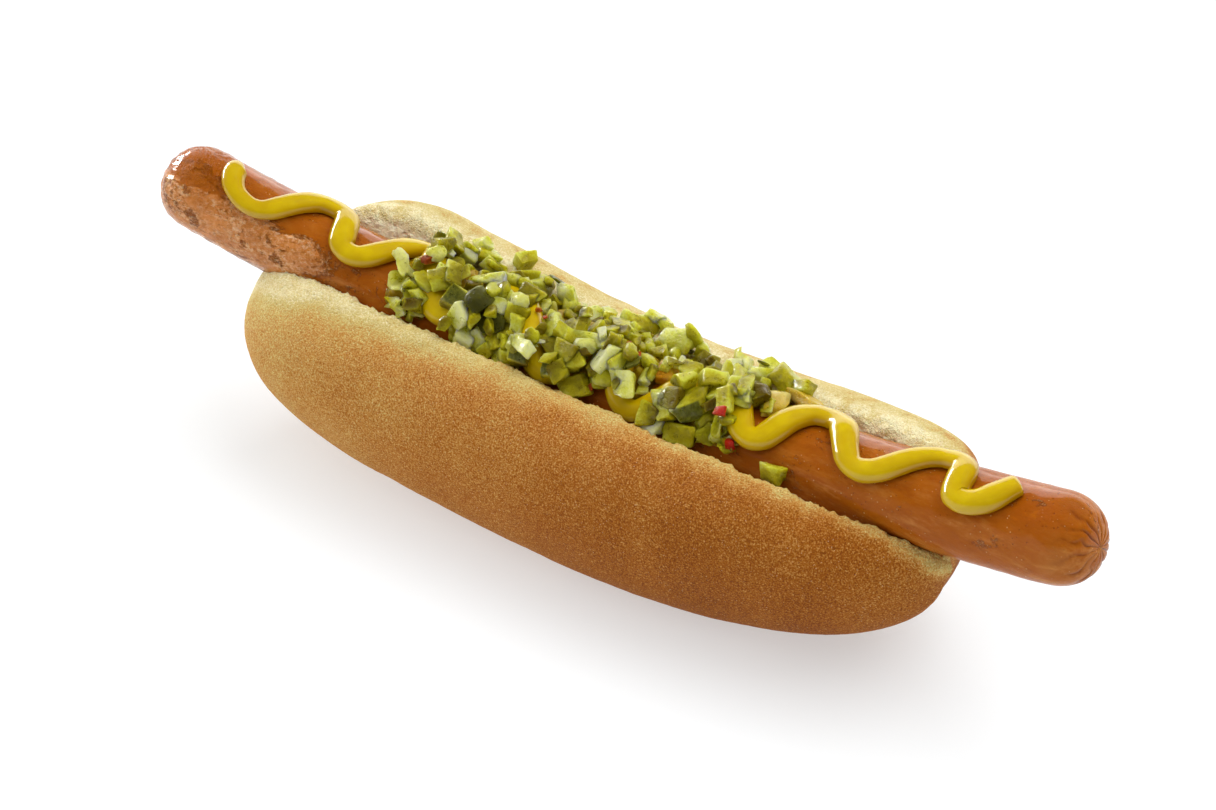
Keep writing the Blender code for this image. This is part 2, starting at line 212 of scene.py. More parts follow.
def outline(place, powers):
    """Share of full size at a place from -1 to 1: (1 - |place|^p)^(1/p), p by side."""
    power = np.where(place < 0, powers[0], powers[1])
    return np.maximum(1 - np.abs(place) ** power, 0.0) ** (1 / power)


def even_places(count, reach, size):
    """Places from -1 to 1 that are evenly spaced along the curve (reach * place, size(place))."""
    fine = 1 - np.logspace(0, -10, 4000)
    fine = np.concatenate([-fine[:0:-1], fine])
    steps = np.hypot(np.diff(reach * fine), np.diff(size(fine)))
    length = np.concatenate([[0], np.cumsum(steps)])
    return np.interp(np.linspace(0, length[-1], count), length, fine)


def sausage_axis(x):
    """The sausage's centre line: a parabola that rises and sweeps towards both ends."""
    place = x / (SAUSAGE_LENGTH / 2 - SAUSAGE_RADIUS)
    return np.stack([x, SAUSAGE_SWEEP * place ** 2, AXIS_HEIGHT + SAUSAGE_RISE * place ** 2], -1)


def sausage_ways(x):
    """Directions along the sausage, up from it and towards its near side, at places on its axis."""
    half = SAUSAGE_LENGTH / 2 - SAUSAGE_RADIUS
    along = unit(np.stack([np.ones_like(x), 2 * SAUSAGE_SWEEP * x / half ** 2,
                           2 * SAUSAGE_RISE * x / half ** 2], -1))
    up = unit(np.array([0, 0, 1.0]) - along * along[..., 2:3])
    return along, up, np.cross(along, up)


def sausage_point(x, angle, radius):
    """A point at a radius and an angle from straight up, towards the near side, round the axis."""
    _, up, near = sausage_ways(x)
    spoke = near * np.sin(angle)[..., None] + up * np.cos(angle)[..., None]
    return sausage_axis(x) + spoke * radius[..., None]


def sausage_place(points):
    """Place, angle and radius of points round the axis: steps along it until they stand square."""
    x = points[..., 0]
    for _ in range(3):
        along, up, near = sausage_ways(x)
        x = x + ((points - sausage_axis(x)) * along).sum(-1)
    spoke = points - sausage_axis(x)
    angle = np.arctan2((spoke * near).sum(-1), (spoke * up).sum(-1))
    return x, angle, np.linalg.norm(spoke, axis=-1)


def ring_quads(rings, around):
    """Corner numbers of the quads between neighbouring rings whose ends join."""
    row = np.arange(rings - 1)[:, None] * around
    here = np.arange(around)[None, :]
    after = (here + 1) % around
    return np.stack([row + here, row + after, row + around + after, row + around + here], -1).reshape(-1, 4)


def end_fans(rings, around):
    """Corner numbers of the triangles between each end ring and its pole, after all rings."""
    here = np.arange(around)
    after = (here + 1) % around
    pole, last = rings * around, (rings - 1) * around
    return np.concatenate([np.stack([here * 0 + pole, after, here], -1),
                           np.stack([here * 0 + pole + 1, last + here, last + after], -1)])


def add_piece(name, points, faces, layers, finish, node):
    """Put points and faces into a mesh at the origin, with its values for each point."""
    mesh = bpy.data.meshes.new(name)
    mesh.from_pydata(points.tolist(), [], faces)
    for layer, values in layers.items():
        held = mesh.attributes.new(layer, "FLOAT", "POINT").data
        held.foreach_set("value", np.ravel(values).astype(np.float32))
    mesh.update()
    mesh.shade_smooth()
    mesh.materials.append(finish)
    piece = bpy.data.objects.new(name, mesh)
    bpy.context.scene.collection.objects.link(piece)
    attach(piece, BODY)
    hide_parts(node)
    return piece


def ring_piece(name, rings, layers, finish, node):
    """A closed body: rings of points joined by quads, and a fan on each end ring's middle."""
    count, around, _ = rings.shape
    poles = np.stack([rings[0].mean(0), rings[-1].mean(0)])
    points = np.concatenate([rings.reshape(-1, 3), poles])
    full = {layer: np.concatenate([values.ravel(), [values[0].mean(), values[-1].mean()]])
            for layer, values in layers.items()}
    faces = ring_quads(count, around).tolist() + end_fans(count, around).tolist()
    return add_piece(name, points, faces, full, finish, node)


def grid_normals(rings):
    """Outward directions of a grid that closes round: the cross of its two differences."""
    around = np.roll(rings, -1, 1) - np.roll(rings, 1, 1)
    along = np.gradient(rings, axis=0)
    return unit(np.cross(around, along))


class Wire:
    """A node's socket: arithmetic on it adds Math nodes."""

    def __init__(self, nodes, socket):
        self.nodes = nodes
        self.socket = socket

    def math(self, operation, *values):
        return self.nodes.node("ShaderNodeMath", {"operation": operation}, dict(enumerate(values)))

    def __add__(self, other):
        return self.math("ADD", self, other)

    def __sub__(self, other):
        return self.math("SUBTRACT", self, other)

    def __rsub__(self, other):
        return self.math("SUBTRACT", other, self)

    def __mul__(self, other):
        return self.math("MULTIPLY", self, other)

    __radd__ = __add__
    __rmul__ = __mul__

    def clamped(self):
        return self.nodes.node("ShaderNodeClamp", {}, {"Value": self})

    def ramp(self, low, high, first=0.0, last=1.0):
        """Ease from a first to a last value as this one goes from low to high."""
        return self.nodes.node("ShaderNodeMapRange", {"interpolation_type": "SMOOTHSTEP"},
                               {"Value": self, "From Min": low, "From Max": high,
                                "To Min": first, "To Max": last})


class Nodes:
    """The node tree of a material or a world round its one shader."""

    def __init__(self, owner, shader):
        owner.use_nodes = True
        self.tree = owner.node_tree
        self.shader = self.tree.nodes[shader]

    def node(self, kind, settings, sockets, output=0):
        """Add a node: its settings first, then the values or links of its sockets."""
        made = self.tree.nodes.new(kind)
        for setting, value in settings.items():
            if setting == "stops":
                self.set_stops(made.color_ramp, value)
            else:
                setattr(made, setting, value)
        for socket, value in sockets.items():
            if isinstance(value, Wire):
                self.tree.links.new(value.socket, made.inputs[socket])
            else:
                made.inputs[socket].default_value = value
        return Wire(self, made.outputs[output])

    @staticmethod
    def set_stops(ramp, stops):
        while len(ramp.elements) < len(stops):
            ramp.elements.new(0.5)
        for element, (place, colour) in zip(ramp.elements, stops):
            element.position = place
            element.color = (*colour, 1.0)

    def link(self, socket, wire):
        self.tree.links.new(wire.socket, self.shader.inputs[socket])


class Finish(Nodes):
    """A material, with the values of its Principled shader that are the same all over."""

    def __init__(self, name, **constants):
        self.material = bpy.data.materials.new(name)
        super().__init__(self.material, "Principled BSDF")
        self.at = self.node("ShaderNodeTexCoord", {}, {}, "Object")
        for socket, value in constants.items():
            self.shader.inputs[socket.replace("_", " ")].default_value = value

    def layer(self, name):
        """A value that the mesh holds at each point."""
        return self.node("ShaderNodeAttribute", {"attribute_name": name}, {}, "Fac")

    def grain(self, size, detail=2.0, rough=0.5, at=None, warp=0.0):
        """Noise from 0 to 1 whose lumps are about a size in metres."""
        return self.node("ShaderNodeTexNoise", {},
                         {"Vector": at or self.at, "Scale": 1 / size, "Detail": detail,
                          "Roughness": rough, "Distortion": warp}, "Fac")

    def stretched(self, *shares):
        """Object coordinates times a share for each axis: a small share draws a pattern out."""
        return self.node("ShaderNodeVectorMath", {"operation": "MULTIPLY"}, {0: self.at, 1: shares})

    def cells(self, size):
        """Distance to the middle of random cells of about a size in metres."""
        return self.node("ShaderNodeTexVoronoi", {}, {"Vector": self.at, "Scale": 1 / size}, "Distance")

    def colours(self, value, stops):
        """The colour at a value from 0 to 1 between stops."""
        return self.node("ShaderNodeValToRGB", {"stops": stops}, {"Fac": value}, "Color")

    def coats(self, colour, *coats):
        """Lay coats over a colour: each is its share, which the node clamps, and its own colour."""
        for share, coat in coats:
            first, second = (each if isinstance(each, Wire) else (*each, 1.0) for each in (colour, coat))
            colour = self.node("ShaderNodeMix", {"data_type": "RGBA"}, {0: share, 6: first, 7: second}, 2)
        return colour

    def bump(self, height, distance, strength=1.0):
        """Feed the shader's normal from a height in shares of a distance in metres."""
        self.link("Normal", self.node("ShaderNodeBump", {}, {"Height": height, "Distance": distance,
                                                             "Strength": strength}, "Normal"))


def turned(first, second, turn):
    """Two coordinates turned in their plane, from the first axis towards the second."""
    sine, cosine = math.sin(turn), math.cos(turn)
    return first * cosine - second * sine, first * sine + second * cosine


def half_section(half, place, turn):
    """One half round, from hinge to rim: a super-ellipse round the line from hinge to rim.

    It stands out by the thickness, leans outwards, and its low and high ends close in towards
    both ends of the bun."""
    low = BUN_DEPTH / 2 * (1 - outline(place, half["hinge"]))
    high = BUN_DEPTH / 2 * (1 + outline(place, half["rim"]))
    for middle, spread, height in half["waves"]:
        high = high + height * bump_shape(place, middle, spread)
    thick = half["thickness"] * outline(place, half["body"])
    power = 2 / BUN_ROUNDNESS
    along = -np.sign(np.cos(turn)) * np.abs(np.cos(turn)) ** power
    out = thick[:, None] * np.abs(np.sin(turn)) ** power
    rise = (high - low)[:, None] * (1 + along) / 2
    sine, cosine = math.sin(half["lean"]), math.cos(half["lean"])
    y = half["side"] * (out * cosine + rise * sine)
    return np.stack([y, low[:, None] + rise * cosine - out * sine], -1), low


def bun_rings():
    """The bun's sections: round the near half, the hinge and the far half, then down the slot.

    Returns the points, and for each its way along the outside from the rim, its half and its
    depth in the slot."""
    def thickness_at(place):
        return NEAR_HALF["thickness"] * outline(place, SPREAD_POWERS)

    place = even_places(BUN_STATIONS, NEAR_HALF["reach"], thickness_at)
    step = np.linspace(0, 1, OUTER_STEPS)
    step = 1 - (1 - step) * (1 - 0.55 * step)       # closer together towards the rim
    turn = math.pi * step
    near, low = half_section(NEAR_HALF, place, turn)
    far, _ = half_section(FAR_HALF, place, turn)
    apex = low + HINGE_THICKNESS * outline(place, NEAR_HALF["hinge"])
    apex = apex + END_FILL * smooth(np.abs(place), 0.7, 0.93)

    down = np.linspace(0, 1, SLOT_STEPS + 2)[1:-1]
    share = 1 - down ** 1.7

    def wall(rim):
        y = rim[:, :1] * share ** SLOT_POWER
        return np.stack([y, apex[:, None] + (rim[:, 1] - apex)[:, None] * share], -1)

    bottom = np.stack([0 * apex, apex], -1)[:, None]
    section = np.concatenate([near[:, :0:-1], far, wall(far[:, -1]), bottom,
                              wall(near[:, -1])[:, ::-1]], 1)
    own = np.minimum(1, 3 * step)
    own = np.concatenate([own[:0:-1], own, share, [0], share[::-1]])
    side = np.concatenate([-np.ones(OUTER_STEPS - 1), np.ones(OUTER_STEPS + SLOT_STEPS), [0],
                           -np.ones(SLOT_STEPS)])
    cut = np.concatenate([np.zeros(2 * OUTER_STEPS - 1), np.ones(2 * SLOT_STEPS + 1)])

    middle = [(NEAR_HALF[key] + FAR_HALF[key]) / 2 for key in ("middle", "reach")]
    halves = [np.where(side < 0, NEAR_HALF[key], FAR_HALF[key]) for key in ("middle", "reach")]
    centre, reach = (m + (h - m) * own for m, h in zip(middle, halves))
    x = centre + reach * place[:, None]
    y, z = turned(section[..., 0], section[..., 1], BUN_ROLL)
    y = y + BUN_SWEEP * place[:, None] ** 2
    z = z + BUN_RISE * place[:, None] ** 2 - REST_TRIM
    rings = np.stack([*turned(x, y, BUN_YAW), z], -1)

    # Way along the ring from each rim, outwards on the crust and downwards in the slot.
    steps = np.linalg.norm(np.diff(rings, axis=1), axis=-1)
    way = np.concatenate([np.zeros((len(place), 1)), np.cumsum(steps, 1)], 1)
    total = way[:, -1:] + np.linalg.norm(rings[:, -1] - rings[:, 0], axis=-1)[:, None]
    far_rim = way[:, 2 * OUTER_STEPS - 2][:, None]
    edge = np.minimum(np.minimum(way, total - way), np.abs(way - far_rim))
    return rings, edge, np.broadcast_to(side, edge.shape), np.broadcast_to(cut, edge.shape), place


def soften(rings, weight, rounds):
    """Round off a grid round its rings: each point moves to the mean of its two neighbours."""
    for _ in range(rounds):
        mean = (np.roll(rings, 1, 1) + np.roll(rings, -1, 1)) / 2
        rings = rings + (mean - rings) * weight[..., None]
    return rings


def clear_of_sausage(points, gap):
    """Push points out from the sausage's axis until they clear its skin by a gap."""
    axis = sausage_axis(points[..., 0])
    spoke = points - axis
    spoke[..., 0] = 0
    away = np.linalg.norm(spoke, axis=-1, keepdims=True)
    wanted = np.maximum(away, SAUSAGE_RADIUS + gap)
    moved = axis + spoke / np.maximum(away, 1e-9) * wanted
    inside = np.abs(points[..., 0:1]) < SAUSAGE_LENGTH / 2 - SAUSAGE_RADIUS
    return np.where(inside, moved, points)


def heap_cover(x, y):
    """Share of relish at places in millimetres: 1 in the heap, 0 outside it and in its gaps."""
    near, far = HEAP["near"], HEAP["far"]
    for middle, spread, more_near, more_far in HEAP["bulges"]:
        near = near + more_near * bump_shape(x, middle, spread)
        far = far + more_far * bump_shape(x, middle, spread)
    cover = smooth(y, near - 1.5, near + 2) * smooth(-y, -far - 1, 2.5 - far)
    cover = cover * smooth(x, HEAP["start"] - 2, HEAP["start"] + 2)
    cover = cover * smooth(-x, -HEAP["end"] - 1, 3 - HEAP["end"])
    for gap_x, gap_y, along, across in HEAP_GAPS:
        cover = cover * smooth(np.hypot((x - gap_x) / along, (y - gap_y) / across), 0.75, 1.35)
    return cover


class Ground:
    """How far from the sausage's axis the surface under the relish lies, by place and angle."""

    cell = np.array([0.4 * MM, math.radians(1.8)])
    low = np.array([-72 * MM, -math.radians(88)])
    counts = (350, 98)
    easing = 4      # rounds that smooth the bare surface

    def __init__(self):
        self.radius = np.zeros(self.counts)

    def cells(self, x, angle):
        """The row and column of the cell at each place and angle."""
        found = np.floor((np.stack([x, angle], -1) - self.low) / self.cell).astype(int)
        return tuple(np.moveaxis(np.clip(found, 0, np.array(self.counts) - 1), -1, 0))

    def lay(self, points):
        """Raise each cell to the highest of the points over it."""
        high = self.low + self.cell * self.counts
        x, angle, radius = sausage_place(points)
        over = (x > self.low[0]) & (x < high[0]) & (angle > self.low[1]) & (angle < high[1])
        np.maximum.at(self.radius, self.cells(x[over], angle[over]), radius[over])

    def close(self):
        """Give a bare cell the radius beside it, and keep an eased copy of the bare surface."""
        for shift, axis in ((1, 0), (-1, 0), (1, 1), (-1, 1)):
            beside = np.roll(self.radius, shift, axis)
            self.radius = np.where(self.radius < SAUSAGE_RADIUS / 2, beside, self.radius)
        self.bare = self.radius.copy()
        for _ in range(self.easing):
            for axis in (0, 1):
                beside = np.roll(self.bare, 1, axis) + np.roll(self.bare, -1, axis)
                self.bare = (self.bare * 2 + beside) / 4

    def pile(self, x, angle):
        """Height of the relish over the bare surface."""
        cell = self.cells(x, angle)
        return self.radius[cell] - self.bare[cell]


def chunk_bit(marks):
    """A cube from -1 to 1 with slightly rounded edges: six square grids, welded.

    A point on the cube is drawn in to a smaller cube and put back out along its own spoke."""
    u, v = np.meshgrid(marks, marks, indexing="ij")
    one = np.ones_like(u)
    sides = [np.stack(side, -1) for side in ((one, u, v), (-one, v, u), (v, one, u), (u, -one, v),
                                             (u, v, one), (v, u, -one))]
    points = np.concatenate([side.reshape(-1, 3) for side in sides])
    count = len(marks)
    corner = np.arange(count - 1)[:, None] * count + np.arange(count - 1)
    face = np.stack([corner, corner + count, corner + count + 1, corner + 1], -1).reshape(-1, 4)
    faces = np.concatenate([face + count ** 2 * i for i in range(6)])
    points, number = np.unique(np.round(points, 6), axis=0, return_inverse=True)
    inner = np.clip(points, marks[1], marks[-2])
    return inner + marks[-1] * (1 - marks[-2]) * unit(points - inner), number.reshape(-1)[faces]


def sheet_bit(rings, around):
    """A flat cushion from -1 to 1: rings of a closed strip, and a point at each end.

    A ring is an ellipse cut off square at -1 and 1.  Its width falls from 1 to 0 at both ends as
    the square root of 1 less the cube of the distance from the middle."""
    along = np.cos(np.linspace(math.pi, 0, rings + 2)[1:-1])
    turn = np.linspace(0, 2 * math.pi, around, endpoint=False) + SHEET_TURN
    y = np.clip(1.25 * np.cos(turn), -1, 1)
    z = np.clip(1.6 * np.sin(turn), -1, 1)
    wide = (1 - np.abs(along) ** 3)[:, None] ** 0.5
    strip = np.stack([along[:, None] + 0 * y, wide * y, wide * z], -1)
    points = np.concatenate([strip.reshape(-1, 3), [[-1, 0, 0], [1, 0, 0]]])
    fans = end_fans(rings, around)[:, [0, 1, 2, 2]]
    return points, np.concatenate([ring_quads(rings, around), fans])


class Heap:
    """Bits of relish that lie on a core of pulp, round the top of the sausage."""

    reach = 14.0            # from the axis to the relish's middle depth, in millimetres
    strewn_reach = 14.5     # the same, where bits are strewn
    sink = 1.2 * MM         # of the core below the skin where there is no relish
    floor = 2.4 * MM        # of the core's inner side below the skin
    cuts = 2                # planes that cut a chunk
    tries = 30              # places that a strewn bit picks the lowest of

    def __init__(self, ground, seed):
        self.ground = ground
        self.draw = np.random.default_rng(seed)
        self.shapes = {"chunk": chunk_bit(np.array([-1, -0.8, -0.42, 0, 0.42, 0.8, 1])),
                       "leaf": sheet_bit(13, 12), "scrap": sheet_bit(5, 8)}
        self.kinds = {}

    def core(self, finish, depth):
        """The pulp between the bits: a lumpy shell on the sausage where relish lies, darker in its low
        places as painted shade.
        """
        x = np.arange(HEAP["start"] - 5, HEAP["end"] + 5, 0.5)[:, None] * MM
        angle = np.radians(np.arange(-64, 66, 2.0))[None, :]
        x, angle = x + 0 * angle, angle + 0 * x
        skin = sausage_point(x, angle, SAUSAGE_RADIUS + 0 * x)
        cover = heap_cover(x / MM, -self.reach * np.sin(angle))
        lumps = np.abs(noise(skin, 3.1 * MM, 41)) + 0.5 * np.abs(noise(skin, 1.5 * MM, 42))
        lift = cover * (depth + lumps * 2.0 * MM) - (1 - cover) * self.sink
        outer = sausage_point(x, angle, SAUSAGE_RADIUS + lift)
        inner = sausage_point(x, angle[:, ::-1], SAUSAGE_RADIUS - self.floor + 0 * x)
        # Paler on the lumps and darker low between them: painted shade.
        tone = 0.2 + 0.4 * np.concatenate([lumps, lumps[:, ::-1]], 1)
        self.ground.lay(outer[cover > 0.3])
        layers = {"tone": tone, "skin": tone * 0}
        return ring_piece("relish_core", np.concatenate([outer, inner], 1), layers, finish,
                          "relish")

    def chunk(self, points, ragged):
        """A cube whose corners move, that is cut by flat planes and scooped by a ball."""
        draw = self.draw
        moves = draw.uniform(-ragged, ragged, (2, 2, 2, 3)) * 2
        body = points
        for corner, weight in cube_corners((points + 1) / 2):
            body = body + weight[:, None] * moves[corner]
        for _ in range(self.cuts):
            facing = unit(draw.normal(0, 1, 3))
            past = body @ facing - draw.uniform(0.7, 1.1)
            body = body - np.maximum(past, 0)[:, None] * facing
        body = body + 0.13 * unit(body) * noise(body + draw.uniform(0, 50, 3), 0.6, 44)[:, None]
        centre = unit(draw.normal(0, 1, 3)) * draw.uniform(1.9, 2.5)
        away = body - centre
        size = np.linalg.norm(away, axis=-1, keepdims=True)
        return centre + away * np.maximum(1, draw.uniform(0.9, 1.4) / size)

    def leaf(self, points, ragged, half):
        """A cushion with a torn outline, crumpled by crossing waves."""
        draw = self.draw
        torn = noise(points * np.array([1, 1, 0]) + draw.uniform(0, 50, 3), 0.42, 43)
        body = points * (1 + ragged * torn[:, None] * np.array([1, 1, 0]))
        wave = draw.uniform(1.5, 4.0, 2)
        crest = np.sin(body[:, 0] * wave[0] + draw.uniform(0, 6)) * np.cos(body[:, 1] * wave[1])
        return body + np.stack([0 * crest, 0 * crest, crest * ragged * half[1] / half[2]], -1)

    def resting(self, body, x, angle, along, spoke, round_it):
        """Radius at which a body lies on the ground under its lower points, sunk in a little."""
        under = body[body @ spoke < 0]
        radius = self.ground.bare[self.ground.cells(x, angle)]
        cells = self.ground.cells(x + under @ along, angle + under @ round_it / radius)
        return np.quantile(self.ground.radius[cells] - under @ spoke, 0.55)

    def put(self, kind, shape, bit, thick=0.78, tilt=0.3, ragged=0.2, rind=0.0, bend=0.0):
        """Shape one bit and lay it at its place; without a lift it rests on what lies there."""
        x, angle, lift, length, width, turn, tone = bit
        draw = self.draw
        half = np.array([length, width, width * thick]) * MM / 2
        points, faces = self.shapes[shape]
        body = self.chunk(points, ragged) if shape == "chunk" else self.leaf(points, ragged, half)
        # Paler at a bit's edges: painted light shining through them.
        rim = smooth(np.sort(np.abs(points), axis=1)[:, 1], 0.5, 1)
        shade = tone + 0.24 * body @ unit(draw.normal(0, 1, 3)) + 0.10 * rim - 0.04
        body = body * half
        body[:, 2] -= bend * (body[:, 0] / half[0]) ** 2 * half[0]
        x, angle, turn = x * MM, math.radians(angle), math.radians(turn)
        along, up, near = sausage_ways(np.array(x))
        spoke = near * math.sin(angle) + up * math.cos(angle)
        round_it = near * math.cos(angle) - up * math.sin(angle)
        normal = unit(spoke + along * draw.normal(0, tilt) + round_it * draw.normal(0, tilt))
        ahead = along * math.cos(turn) + round_it * math.sin(turn)
        ahead = unit(ahead - normal * (normal @ ahead))
        axes = np.stack([ahead, np.cross(normal, ahead), normal])
        body = body @ axes
        if lift is None:
            radius = self.resting(body, x, angle, along, spoke, round_it)
        else:
            radius = SAUSAGE_RADIUS + lift * MM
        middle = sausage_axis(np.array(x)) + spoke * radius
        fill = np.stack(np.meshgrid(*[np.linspace(-0.8, 0.8, 9)] * 3, indexing="ij"), -1)
        self.ground.lay((fill.reshape(-1, 3) * half) @ axes + middle)
        skin = np.zeros(len(points))
        if draw.random() < rind:
            axis, sign = draw.integers(0, 3), draw.choice([-1, 1])
            skin = (points[:, axis] * sign > 0.95).astype(float)
        # Of each kind: points, faces, tones, skins and the number of points so far.
        store = self.kinds.setdefault(kind, [[], [], [], [], 0])
        store[0].append(body + middle)
        store[1].append(faces + store[4])
        store[2].append(shade)
        store[3].append(skin)
        store[4] += len(points)

    def strew(self, kind, shape, count, sizes, most, **manner):
        """Let bits rest where the heap is still low: the lowest lying of a few places.

        Their sizes are in millimetres, and none is put where the heap is already at its most."""
        draw = self.draw
        for _ in range(count):
            x = draw.uniform(HEAP["start"] + 5, HEAP["end"] + 1, self.tries)
            angle = draw.uniform(-55, 56, self.tries)
            pile = self.ground.pile(x * MM, np.radians(angle))
            # Places off the heap count as too high, and those on its far side as a little higher.
            pile = pile + 9 * MM * (heap_cover(x, -self.strewn_reach * np.sin(np.radians(angle))) < 0.55)
            pile = pile + 1 * MM * ((angle > -50) & (angle < -4))
            lowest = np.argmin(pile)
            if pile[lowest] < most:
                size = draw.uniform(*sizes)
                bit = (x[lowest], angle[lowest], None, size * draw.uniform(1.0, 1.6),
                       size * draw.uniform(0.7, 1.0), draw.uniform(0, 180), draw.normal(0.42, 0.26))
                self.put(kind, shape, bit, **manner)

    def piece(self, kind, finish):
        """Join the bits of a kind, with edges sharper than an angle left sharp."""
        points, faces, tone, skin, _ = self.kinds[kind]
        corners = [list(dict.fromkeys(face)) for face in np.concatenate(faces).tolist()]
        layers = {"tone": np.concatenate(tone), "skin": np.concatenate(skin)}
        piece = add_piece("relish_" + kind, np.concatenate(points), corners, layers, finish,
                          "relish")
        piece.data.set_sharp_from_angle(angle=math.radians(70))


def colour_setting(name, description, default):
    """A colour setting."""
    return FloatVectorProperty(name=name, description=description, subtype="COLOR", size=3,
                               default=default)


def length_setting(name, description, default, least=0.0):
    """A setting in metres."""
    return FloatProperty(name=name, description=description, default=default, min=least, unit="LENGTH")


def angle_setting(name, description, degrees):
    """A setting in radians."""
    return FloatProperty(name=name, description=description, default=math.radians(degrees),
                         subtype="ANGLE")


def count_setting(name, description, default):
    """A whole number, 0 or more."""
    return IntProperty(name=name, description=description, default=default, min=0)


class HotDogBun(bpy.types.PropertyGroup):
    rim_radius: length_setting("Rim Radius", "Roundness of the cut edges", 1.6 * MM)
    knobs: length_setting("Knobs", "Height of the torn knobs along the rims", 0.55 * MM)
    swells: length_setting("Swells", "Height of the crust's broad swells", 0.45 * MM)
    cream: colour_setting("Cream", "Unbaked edge of the crust", (0.75, 0.62, 0.30))
    golden: colour_setting("Golden", "Lightly baked crust", (0.56, 0.27, 0.06))
    brown: colour_setting("Brown", "Well baked crust", (0.36, 0.11, 0.008))
    dark: colour_setting("Dark", "Darkest crust", (0.17, 0.04, 0.003))
    crumb: colour_setting("Crumb", "Soft inside of the bread", (0.94, 0.87, 0.61))


class HotDogSausage(bpy.types.PropertyGroup):
    blisters: length_setting("Blisters", "Height of the skin's blisters", 0.16 * MM)
    roast: colour_setting("Roast", "Grilled skin", (0.33, 0.080, 0.002))
    glaze: colour_setting("Glaze", "Glossy burnt skin", (0.40, 0.098, 0.001))
    pink: colour_setting("Pink", "Pale blistered skin", (0.64, 0.235, 0.055))


class HotDogMustard(bpy.types.PropertyGroup):
    width: length_setting("Width", "Width of the bead", 5.4 * MM, 1 * MM)
    height: length_setting("Height", "Height of the bead above the skin", 3.8 * MM, 1 * MM)
    slump: FloatProperty(name="Slump", description="How much wider the bead is where it runs across",
                         default=0.26, min=0.0)
    yellow: colour_setting("Yellow", "Mustard", (0.53, 0.36, 0.0))


class HotDogRelish(bpy.types.PropertyGroup):
    seed: count_setting("Seed", "Picks another heap", 7)
    bits: count_setting("Bits", "Bits strewn between the chosen ones", 48)
    pulp: count_setting("Pulp", "Small bits that fill the gaps", 48)
    depth: length_setting("Depth", "Depth of the pulp between the bits", 0.7 * MM)


class HotDogStage(bpy.types.PropertyGroup):
    azimuth: angle_setting("Azimuth", "Camera's turn from the front", 32.863)
    elevation: angle_setting("Elevation", "Camera's height over the table", 40.0)
    distance: length_setting("Distance", "From the camera to the sausage", 699.17 * MM)
    lens: FloatProperty(name="Lens", description="Focal length in millimetres", default=88.52)


def crust_finish(look):
    """Matt crust from cream at the rims to brown, with fine grain, and porous crumb inside; the browning
    also holds painted light and shade, pale flecks are partly painted glints, and the crumb darkens deeper
    in the slot as painted shade.
    """
    finish = Finish("golden_crust", IOR=1.45, Subsurface_Weight=0.12, Subsurface_Scale=0.003,
                    Subsurface_Radius=(1.0, 0.5, 0.2), Specular_IOR_Level=0.12)
    bake, cut = finish.layer("bake"), finish.layer("cut")
    broad, patch = finish.grain(14 * MM, 3.0), finish.grain(3.5 * MM, 3.0)
    fine, sand = finish.grain(0.7 * MM, 3.0, 0.65), finish.grain(0.38 * MM, 1.0, 0.6)
    pores = finish.cells(0.75 * MM)
    level = bake + (broad - 0.5) * 0.10 + (patch - 0.5) * 0.06 + (fine - 0.5) * 0.24
    level = level + (sand - 0.5) * (0.27 + bake * 1.4)
    crust = finish.colours(level, [(0.0, (0.88, 0.80, 0.50)), (0.09, look.cream),
                                   (0.2, (0.63, 0.49, 0.16)), (0.38, look.golden),
                                   (0.62, look.brown), (1.0, look.dark)])
    specks = pores.ramp(0.32, 0.08) * 0.5 * bake.ramp(0.15, 0.5)
    # Pale flecks on the crust: partly painted glints.
    flour = finish.cells(0.9 * MM).ramp(0.2, 0.08) * patch.ramp(0.42, 0.62)
    crust = finish.coats(crust, (specks, look.dark), (flour * 0.5, (0.80, 0.60, 0.32)))
    holes = finish.cells(2.2 * MM).ramp(0.35, 0.05)
    # The crumb turns darker deeper in the slot and towards the right: painted shade.
    crumb = finish.coats(look.crumb, (holes * 0.45, (0.55, 0.38, 0.16)),
                         (patch - 0.3, (0.86, 0.78, 0.55)),
                         (finish.layer("deep") * 0.7, (0.60, 0.40, 0.14)))
    finish.link("Base Color", finish.coats(crust, (cut, crumb)))
    finish.link("Roughness", (0.55 + fine * 0.3 + cut * 0.15).clamped())
    lumps = finish.grain(1.6 * MM) + finish.grain(3.4 * MM) * 1.6
    relief = fine * 0.35 + sand * (1.2 - bake) * (1 - cut * 0.7)
    relief = relief + lumps * (1 - bake.ramp(0.0, 0.35)) * 1.6 - holes * cut
    finish.bump(relief - pores.ramp(0.3, 0.0) * 0.3, 0.5 * MM)
    return finish.material


